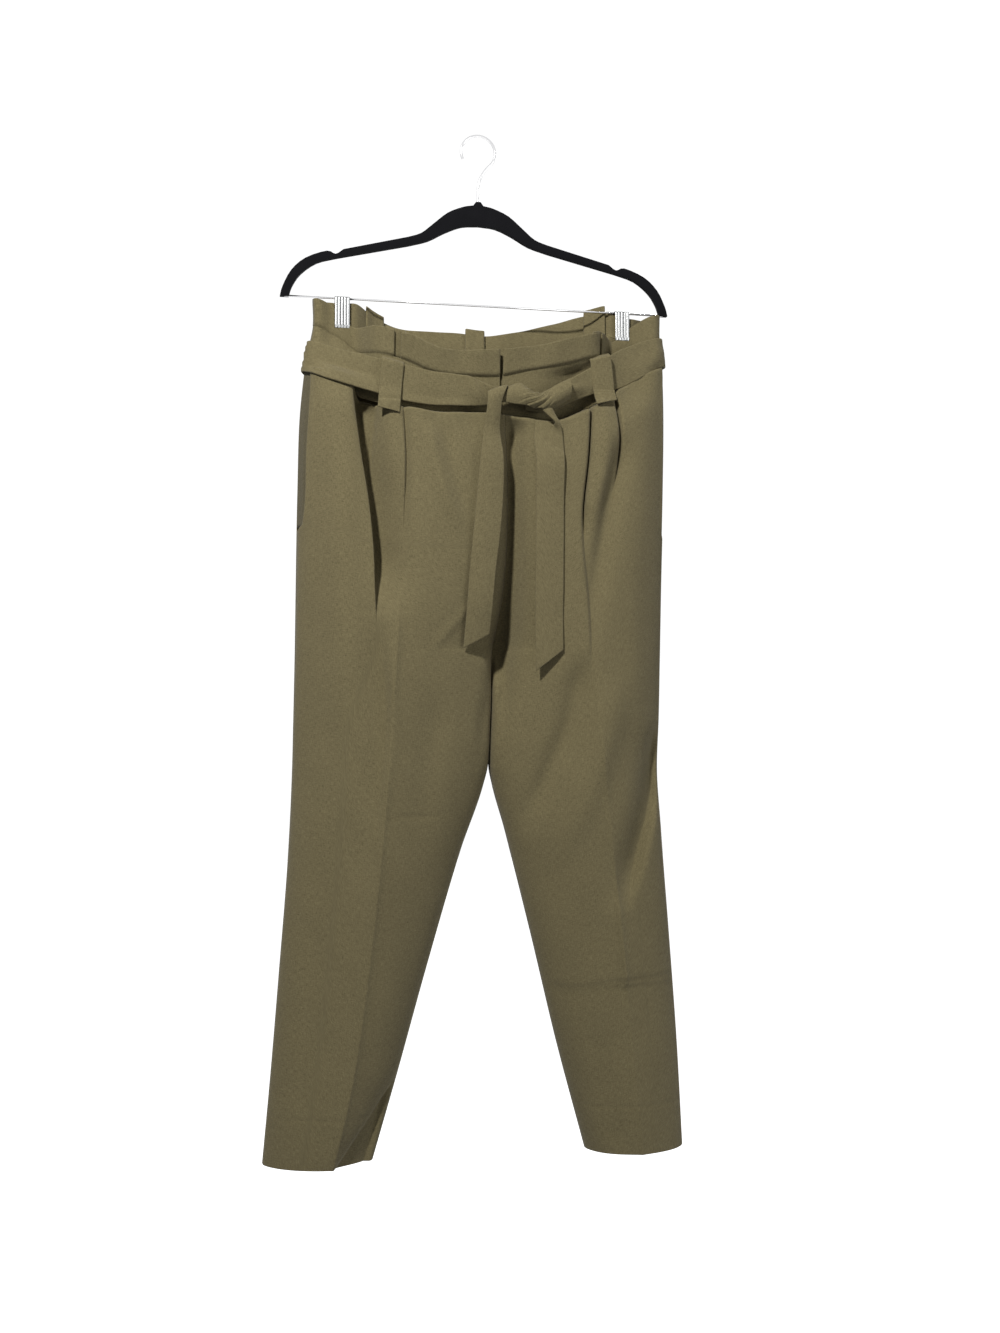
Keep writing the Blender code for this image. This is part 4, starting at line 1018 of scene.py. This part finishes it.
def build_fly():
    cloth_piece("fly_zip_tape", "fly_zip", fly_strip(-0.004, 0.004, 0.0030), CLOTH)
    cloth_piece("fly_shield_shell", "fly_shield", fly_strip(-0.010, 0.028, 0.0056), CLOTH)


# ---------------------------------------------------------------- belt


def side_x(side, drop):
    """x of the side seam at a drop, on frill, waistband or body."""
    drops = [float(value) for value in LEVELS["front"].waist_drops(WAIST.read(side, 0.0))]
    upper = WAIST.read(side, np.interp(drop, drops, WAIST_SCALE))
    lower = OUTLINE[side].read("outer", level_of(drops[2], drop))
    return np.where(drop < drops[2], upper, lower)


def belt_read(face, name, x):
    if face == "back":
        return BELT["back"].read(name, x)
    left, right = (BELT["front_" + side].read(name, x) for side in SIDES)
    return np.where(x < BELT_SPLIT, left, right)


def upper_hull(points):
    """The taut line over points."""
    chain = []
    for p in sorted(map(tuple, points)):
        while len(chain) > 1:
            a, b = chain[-2], chain[-1]
            if (b[0] - a[0]) * (p[1] - a[1]) - (b[1] - a[1]) * (p[0] - a[0]) < 0.0:
                break
            chain.pop()
        chain.append(p)
    return np.array(chain)


@functools.cache
def belt_chain(face, across):
    """The taut line of the belt at one height: x and outward distance."""
    turn = 1.0 - np.cos(np.pi / 2 * np.linspace(0.0, 1.0, 90))
    points = []
    for side in SIDES:
        ring = float(WAIST.read(side, BELT_BELOW))
        x = mix(ring, CENTRE_FRONT, turn)
        drop = mix(belt_read(face, "top", x), belt_read(face, "bottom", x), across)
        scale = (side_x(side, drop) - CENTRE_FRONT) / (ring - CENTRE_FRONT)
        x_here = CENTRE_FRONT + (x - CENTRE_FRONT) * scale
        out = cloth_out(face, x_here, drop)
        step = np.sign(CENTRE_FRONT - x_here) * 0.0006
        rise = (cloth_out(face, x_here + step, drop) - out) / step
        normal = unit(np.stack([-rise, np.ones_like(rise)], -1))
        points.append(np.stack([x_here, out], -1) + normal * BELT_LIFT)
    return upper_hull(np.concatenate(points))


def belt_out(face, across, x):
    """Outward distance of the belt's middle surface; across is 0 at its top edge."""
    chains = [belt_chain(face, knot / 4) for knot in range(5)]
    values = np.array([np.interp(x, chain[:, 0], chain[:, 1]) for chain in chains])
    place = np.clip(across, 0.0, 1.0) * 4.0
    k = np.minimum(place.astype(int), 3)
    upper = np.take_along_axis(values, k[None], 0)[0]
    lower = np.take_along_axis(values, (k + 1)[None], 0)[0]
    return mix(upper, lower, place - k) + belt_read(face, "lift", x)


def belt_section(face, x, across):
    """Points of the belt at columns x, for each position across it."""
    on_left = x < CENTRE_FRONT
    ring = np.where(on_left, WAIST.read("left", BELT_BELOW), WAIST.read("right", BELT_BELOW))
    rows = []
    for a in across:
        chain = belt_chain(face, round(a * 4) / 4)
        ends = np.where(on_left, chain[0, 0], chain[-1, 0])
        x_here = CENTRE_FRONT + (x - CENTRE_FRONT) * (ends - CENTRE_FRONT) / (ring - CENTRE_FRONT)
        out = belt_out(face, np.full_like(x, a), x_here)
        out = out - belt_read(face, "roll", x) * smooth((a - 0.60) / 0.40) ** 1.3
        out = out + belt_crumple(face, x, a)
        drop = mix(belt_read(face, "top", x), belt_read(face, "bottom", x), a)
        rows.append(outwards(face, x_here, out, drop))
    return np.array(rows)


def belt_crumple(face, x, a):
    """Small folds of the belt, most of them beside the knot."""
    wave = 0.0004 * np.sin(x * 90.0 + 3.0 * a) + 0.0003 * np.sin(x * 170.0 - 5.0 * a)
    if face == "back":
        return wave
    left = 0.0022 * bell(x + 0.018 - 0.020 * a, 0.0050) * smooth((x + 0.05) / 0.03)
    left -= 0.0020 * bell(x + 0.006 - 0.022 * a, 0.0045) * smooth((1.0 - a) / 0.8)
    right = 0.0018 * bell(a - 0.34 - (x - 0.07) * 5.0, 0.12) * smooth((0.125 - x) / 0.03)
    right -= 0.0020 * bell(a - 0.62 - (x - 0.07) * 3.0, 0.12) * smooth((0.120 - x) / 0.03)
    return wave + np.where(x < BELT_SPLIT, left, right * (x > 0.04))


def belt_round_waist():
    """Grid of the belt from the knot round the back to the knot again."""
    across = eased(16, 0.030)

    def columns(side, end, count):
        turn = 1.0 - np.cos(np.pi / 2 * np.linspace(0, 1, count))
        return mix(float(WAIST.read(side, BELT_BELOW)), end, turn)

    return np.concatenate([
        belt_section("front", columns("left", 0.0140, 130)[::-1], across),
        belt_section("back", columns("left", CENTRE_BACK, 90)[1:], across),
        belt_section("back", columns("right", CENTRE_BACK, 90)[-2:0:-1], across),
        belt_section("front", columns("right", 0.0480, 110), across),
    ], axis=1)


def belt_loop(face, x_top, x_bottom, start, end):
    """Strap over the belt: under the frill's seam, out over the belt, and back in."""
    a, s = np.meshgrid(eased(12, 0.06), eased(60, 0.04))
    centre = mix(x_top, x_bottom, s)
    x = centre + (a - 0.5) * LOOP_WIDTH
    table, half = LEVELS[face], LOOP_WIDTH / 2
    slope = (table.read("seam", centre + half) - table.read("seam", centre - half)) / LOOP_WIDTH
    drop = mix(start, end, s) + (x - centre) * slope * 0.9
    top, bottom = belt_read(face, "top", centre), belt_read(face, "bottom", centre)
    over = belt_out(face, (drop - top) / (bottom - top), centre) + LOOP_OVER
    high = np.minimum(drop, table.read("body", centre) - 0.001)
    base = cloth_out(face, centre, high) + LOOP_REST
    base_low = np.max([
        cloth_out(face, centre + aside * LOOP_WIDTH, drop + lower)
        for aside in np.linspace(-0.6, 0.6, 7) for lower in (0.0, 0.003, 0.006)
    ], axis=0) + LOOP_REST
    falling = mix(base_low, np.maximum(over, base_low), smooth((1.0 - s) / 0.085))
    out = np.where(s > 0.5, falling, mix(base, over, smooth(s / 0.10)))
    return outwards(face, x, out + 0.0010 * np.sin(np.pi * a), drop)


# ---------------------------------------------------------------- tie

# How far out the knot sits, and then strips across it: (x, out from the knot, drop) of one
# edge and of the other
KNOT = float(cloth_out("front", np.array([0.060]), np.array([0.348]))[0]) - 0.0045
LEFT_TURN = [
    (7.5, 8, 327, 24, 7, 321.5), (5.8, 10, 320, 26.8, 9, 313), (4.2, 13.5, 315, 27.2, 11.5, 307.4),
    (3, 18.5, 316.5, 25.8, 16.5, 308), (2.5, 21.5, 321.5, 22.2, 20.5, 315),
    (2, 22, 329, 19, 20, 324), (1, 20.5, 338.5, 17.8, 18, 337), (-1, 17, 356, 17.2, 14, 355.5),
]
RIGHT_TURN = [
    (60, 13, 327, 69, 12, 323), (65.5, 15, 333, 76.5, 14, 330), (73, 15.5, 340, 81.5, 13.5, 339),
    (80, 15, 347, 86.2, 12.5, 347), (78, 10.5, 348.5, 88.5, 11.5, 353),
    (70.5, 8.5, 345, 89.8, 10.5, 358), (61, 7, 344, 90.5, 9.5, 364), (58.2, 7, 354, 90.9, 9, 370),
]
KNOT_TURN = [
    (98.2, 10, 294.5, 98.5, 11, 317), (85.7, 12.5, 301.3, 85, 14, 325.8),
    (73.2, 14, 309, 75.6, 15.5, 330.5), (64, 15, 314, 65.7, 16.5, 331.5),
    (55, 15, 312.8, 55, 16.5, 330.5), (47.7, 14.5, 308.2, 44.6, 16.5, 328.5),
    (41.5, 13.5, 303.8, 34.7, 16, 327.8), (34.7, 12, 304.5, 27.2, 15, 326.5),
    (28.5, 9.5, 307.2, 21.5, 13, 325.7), (21.5, 7, 312.5, 15, 10, 325),
]
# Where the tails hang free: drop, x of both edges, and distance off the cloth
LEFT_HANG = [
    (386, -4.6, 20.8, 8.5), (420, -8, 21.2, 6.5), (470, -12.5, 18, 5), (520, -17, 12.5, 4),
    (560, -19.8, 9.5, 3.5), (594.5, -22.5, 7, 3.5),
]
RIGHT_HANG = [
    (385, 58.4, 91.2, 5.5), (434, 58.2, 90.2, 4), (500, 57.6, 89.6, 3.2), (547, 57.2, 89, 3),
    (616, 57.8, 89, 3.5),
]


def knot_rows(rows):
    """Rows of a strip, measured from the knot, as (x, out, drop) of both edges."""
    return [tuple(row) for row in milli(rows) + np.array([0.0, KNOT, 0.0, 0.0, KNOT, 0.0])]


def hanging_rows(places):
    """Edge rows of a tail lying down the front, over the outermost cloth across it."""
    rows = []
    for drop, left, right, lift in milli(places):
        across = np.linspace(-0.5, 0.5, 9) * (right - left) + (left + right) / 2.0
        out = float(cloth_out("front", across, np.full(9, drop)).max()) + lift
        rows.append((left, out, drop, right, out - 0.0008, drop))
    return rows


def loft(rows, lengthwise, across, crown):
    """Strip between two edges; each row is (x, out, drop) of one edge, then of the other."""
    rows = np.array(rows, float)
    middle = np.diff((rows[:, :3] + rows[:, 3:]) / 2.0, axis=0)
    second_edge = np.diff(rows[:, 3:], axis=0)
    gaps = np.linalg.norm(middle, axis=1) + 0.25 * np.linalg.norm(second_edge, axis=1)
    keys = np.concatenate([[0.0], np.cumsum(gaps)])
    edges = Table("s x1 o1 d1 x2 o2 d2", np.column_stack([keys, rows]))
    s = keys[-1] * lengthwise
    first, second = (
        np.stack([edges.read(axis + edge, s) for axis in "xod"], -1)[:, None, :] for edge in "12"
    )
    t = across[None, :, None]
    grid = mix(first, second, t)
    normal = grid_normals(grid)
    if normal[len(rows) * 3 % len(s), len(across) // 2, 1] < 0.0:
        normal = -normal
    return grid + normal * (crown * np.sin(np.pi * t))


def tail_grid(rows, slant, crown):
    """Grid of a tail; slant is how much longer one side of its end is than the other."""
    lengthwise = eased(210, 0.006)
    across = eased(16, 0.06)
    grid = loft(rows, lengthwise, across, crown)
    grid[..., 2] += slant * (0.5 - across)[None, :] * (lengthwise[:, None] ** 7)
    wave = 0.0008 * np.sin(grid[..., 2] * 48.0 + 1.0) * (0.4 + across[None, :])
    out = grid[..., 1] + np.abs(wave) * lengthwise[:, None]
    rest = cloth_out("front", grid[..., 0], grid[..., 2]) + TAIL_REST
    return outwards("front", grid[..., 0], np.maximum(out, rest), grid[..., 2])


def knot_band():
    """The turn of the belt across the front of the knot, from the right belt to the left."""
    lengthwise = eased(120, 0.01)
    across = eased(40, 0.05)
    grid = loft(knot_rows(KNOT_TURN), lengthwise, across, 0.0048)
    s, a = np.meshgrid(lengthwise, across, indexing="ij")
    slant = a - (s - 0.36) * 2.6
    folds = 0.0011 * np.sin(slant * 20.0 + 0.4) + 0.0007 * np.sin(slant * 41.0 + 1.0)
    folds = (folds - 0.0026 * bell(slant - 0.55, 0.13)) * bell(s - 0.50, 0.15)
    rolled = 0.0035 * smooth((a - 0.80) / 0.20) * smooth((0.42 - s) / 0.15)
    return outwards("front", grid[..., 0], grid[..., 1] + folds - rolled, grid[..., 2])


def build_belt():
    cloth_piece("belt_round", "belt_round_waist", belt_round_waist(), BELT_CLOTH,
                ["top", "bottom"])
    for name, (face, *ends) in LOOPS.items():
        cloth_piece(name + "_strap", name, belt_loop(face, *milli(ends)), LOOP_CLOTH,
                    ["start", "end"])
    rims = ["start", "end", "bottom"]
    rows = knot_rows(LEFT_TURN) + hanging_rows(LEFT_HANG)
    cloth_piece("tail_of_belt_left", "belt_tail_left", tail_grid(rows, 0.016, 0.0014),
                BELT_CLOTH, rims)
    rows = knot_rows(RIGHT_TURN) + hanging_rows(RIGHT_HANG)
    cloth_piece("tail_of_belt_right", "belt_tail_right", tail_grid(rows, 0.024, 0.0010),
                BELT_CLOTH, rims)
    cloth_piece("knot_turn", "belt_knot", knot_band(), BELT_CLOTH,
                ["start", "end"])


# ---------------------------------------------------------------- hanger


def hanger_shape():
    """The CAD hanger's own outline with its edges rounded over."""
    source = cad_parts["hanger_body"]
    bm = bmesh.new()
    bm.from_mesh(source.data)
    bm.transform(source.matrix_world)
    bmesh.ops.remove_doubles(bm, verts=bm.verts[:], dist=0.00001)
    bmesh.ops.dissolve_limit(bm, angle_limit=math.radians(1.0), verts=bm.verts[:],
                             edges=bm.edges[:])
    mesh = mesh_of(bm, "velvet_hanger")
    shade_smooth(mesh)
    mesh.materials.append(VELVET_MATERIAL)
    thing = add("velvet_hanger", mesh)
    bevel = thing.modifiers.new("round_over", "BEVEL")
    bevel.width = 0.0014
    bevel.segments = 4
    bevel.limit_method = "ANGLE"
    bevel.angle_limit = math.radians(50.0)
    bevel.use_clamp_overlap = True
    stands_for(thing, "hanger_body")


def hook_shape():
    """The bent wire of the hook, drawn finer than the CAD solid."""
    radius, wire = 0.0200, 0.0017
    centre = wire - radius
    neck, bend = -0.062, -0.0475          # z where the shank ends and where its curve leans to
    angles = mix(math.radians(-50.0), math.radians(205.0), np.linspace(0.0, 1.0, 61))
    arc = np.stack([radius * np.cos(angles), centre + radius * np.sin(angles)], -1)
    t = np.arange(1, 14)[:, None] / 14
    shank = np.array([(0.0, -0.090), (0.0, -0.080), (0.0, -0.070), (0.0, neck)])
    turn = (1 - t) ** 2 * shank[-1] + 2 * t * (1 - t) * np.array([0.0, bend]) + t**2 * arc[0]
    points = np.concatenate([shank, turn, arc])
    data = bpy.data.curves.new("hook_wire", "CURVE")
    data.dimensions = "3D"
    data.bevel_depth = wire
    data.bevel_resolution = 6
    data.use_fill_caps = True
    spline = data.splines.new("POLY")
    spline.points.add(len(points) - 1)
    for point, (x, z) in zip(spline.points, points):
        point.co = (x, 0.0, z, 1.0)
    spline.use_smooth = True
    data.materials.append(CHROME_MATERIAL)
    stands_for(add("hook_wire", data), "hook")


def bar_shape():
    low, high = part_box("hanger_bar")
    bm = bmesh.new()
    bmesh.ops.create_cone(bm, cap_ends=True, segments=32, radius1=BAR_RADIUS, radius2=BAR_RADIUS,
                          depth=high[0] - low[0])
    mesh = mesh_of(bm, "bar_rod")
    shade_smooth(mesh)
    mesh.materials.append(CHROME_MATERIAL)
    thing = add("bar_rod", mesh)
    thing.location = (0.0, 0.0, -BAR_DROP)
    thing.rotation_euler = (0.0, math.pi / 2, 0.0)
    stands_for(thing, "hanger_bar")


def clip_shape(side):
    """Ribbed sheet bent over the bar; both jaws hold the frill."""
    middle, bend = CLIP_JAW, BAR_DROP + 0.0010
    down = np.linspace(CLIP_END[side], bend, 40)
    turn = np.linspace(math.pi, 0.0, 16)[1:-1]
    over = np.stack([middle * np.cos(turn), -bend + middle * np.sin(turn)], -1)
    jaw = np.stack([np.full(40, middle), -down], -1)
    profile = np.concatenate([jaw * [-1.0, 1.0], over, jaw[::-1]])
    u = np.linspace(0.0, 1.0, 65)
    ribs = CLIP_RIB * np.sqrt(np.abs(np.sin(u * math.pi * CLIP_RIBS)))
    from_end = np.arange(len(profile))
    ease = np.clip(np.minimum(from_end, from_end[::-1]) / 4.0, 0.0, 1.0)
    y = profile[:, :1] + (np.sign(profile[:, 0]) * ease)[:, None] * ribs
    x = np.broadcast_to(CLIP_X[side] + (u - 0.5) * 2 * CLIP_HALF, y.shape)
    grid = np.stack([x, y, np.broadcast_to(profile[:, 1:], y.shape)], -1)
    piece = shell("ribbed_clip_" + side, grid, CLIP_SHEET, ["top", "bottom", "start", "end"])
    piece.data.materials.append(STEEL_MATERIAL)
    piece.data.materials.append(GROOVE_SHADE_MATERIAL)
    # faces in the grooves between ribs get the painted shade
    for face in piece.data.polygons:
        share = (face.center.x - CLIP_X[side]) / (2 * CLIP_HALF) + 0.5
        if abs(math.sin(share * math.pi * CLIP_RIBS)) < CLIP_GROOVE_SHADE:
            face.material_index = 1
    stands_for(piece, "clip_" + side)


# ---------------------------------------------------------------- studio

FLOOR_Z = -1.95
CAMERA_PLACE = (-0.225, -1.5, -0.70)
CAMERA_TURN = (93.0, 0.0, -9.5)
SENSOR = 36.0              # width in millimetres
FOCAL_SHARE = 1.324        # focal length in widths of the sensor


def area_light(name, place, aim, size, power, colour=(1.0, 1.0, 1.0)):
    light = bpy.data.lights.new(name, "AREA")
    light.shape = "DISK"
    light.size = size
    light.energy = power
    light.color = colour
    thing = add(name, light)
    thing.location = place
    x, y, z = np.array(aim) - np.array(place)
    tilt = math.pi / 2 + math.atan2(z, math.hypot(x, y))
    thing.rotation_euler = (tilt, 0.0, math.atan2(-x, y))


def build_studio():
    """A small warm key light, a broad fill, a light behind, and a white room."""
    area_light("key", (-0.85, -1.42, 0.80), (0.0, 0.0, -0.40), size=0.16, power=47.0,
               colour=(1.0, 0.985, 0.96))
    area_light("fill", (1.9, -1.8, -0.5), (0.0, 0.0, -0.75), size=1.6, power=18.0)
    area_light("rear", (1.00, 1.60, 0.70), (0.0, 0.0, -0.45), size=0.40, power=48.0)
    world = bpy.data.worlds.new("studio")
    bpy.context.scene.world = world
    world.use_nodes = True
    tree = world.node_tree
    tree.nodes.clear()
    out = tree.nodes.new("ShaderNodeOutputWorld")
    path = tree.nodes.new("ShaderNodeLightPath")
    blend = tree.nodes.new("ShaderNodeMixShader")
    tree.links.new(path.outputs["Is Diffuse Ray"], blend.inputs[0])
    for socket, strength in ((1, 1.05), (2, 0.15)):      # as seen, and as it lights the cloth
        room = node(tree, "ShaderNodeBackground", Color=(1.0, 1.0, 1.0, 1.0), Strength=strength)
        tree.links.new(room.outputs[0], blend.inputs[socket])
    tree.links.new(blend.outputs[0], out.inputs["Surface"])
    bpy.context.scene.view_settings.view_transform = "Standard"
    bpy.context.scene.view_settings.look = "None"


def build_floor():
    bm = bmesh.new()
    bmesh.ops.create_grid(bm, x_segments=1, y_segments=1, size=12.0)
    mesh = mesh_of(bm, "floor")
    thing = add("floor", mesh)
    thing.location = (0.0, 0.0, FLOOR_Z)
    material, _, shader = blank_material("pale_floor")
    set_inputs(shader, Base_Color=(0.93, 0.93, 0.93, 1.0), Roughness=0.9,
               Emission_Color=(1.0, 1.0, 1.0, 1.0), Emission_Strength=0.95)
    mesh.materials.append(material)
    thing.visible_diffuse = False


def build_camera():
    data = bpy.data.cameras.new("camera")
    data.sensor_fit = "HORIZONTAL"
    data.sensor_width = SENSOR
    data.lens = FOCAL_SHARE * SENSOR
    thing = add("camera", data)
    thing.location = CAMERA_PLACE
    thing.rotation_euler = [math.radians(angle) for angle in CAMERA_TURN]
    bpy.context.scene.camera = thing


build_camera()
build_panels()
build_waist()
build_fly()
build_belt()
hanger_shape()
hook_shape()
bar_shape()
for clip_side in CLIP_X:
    clip_shape(clip_side)
build_studio()
build_floor()
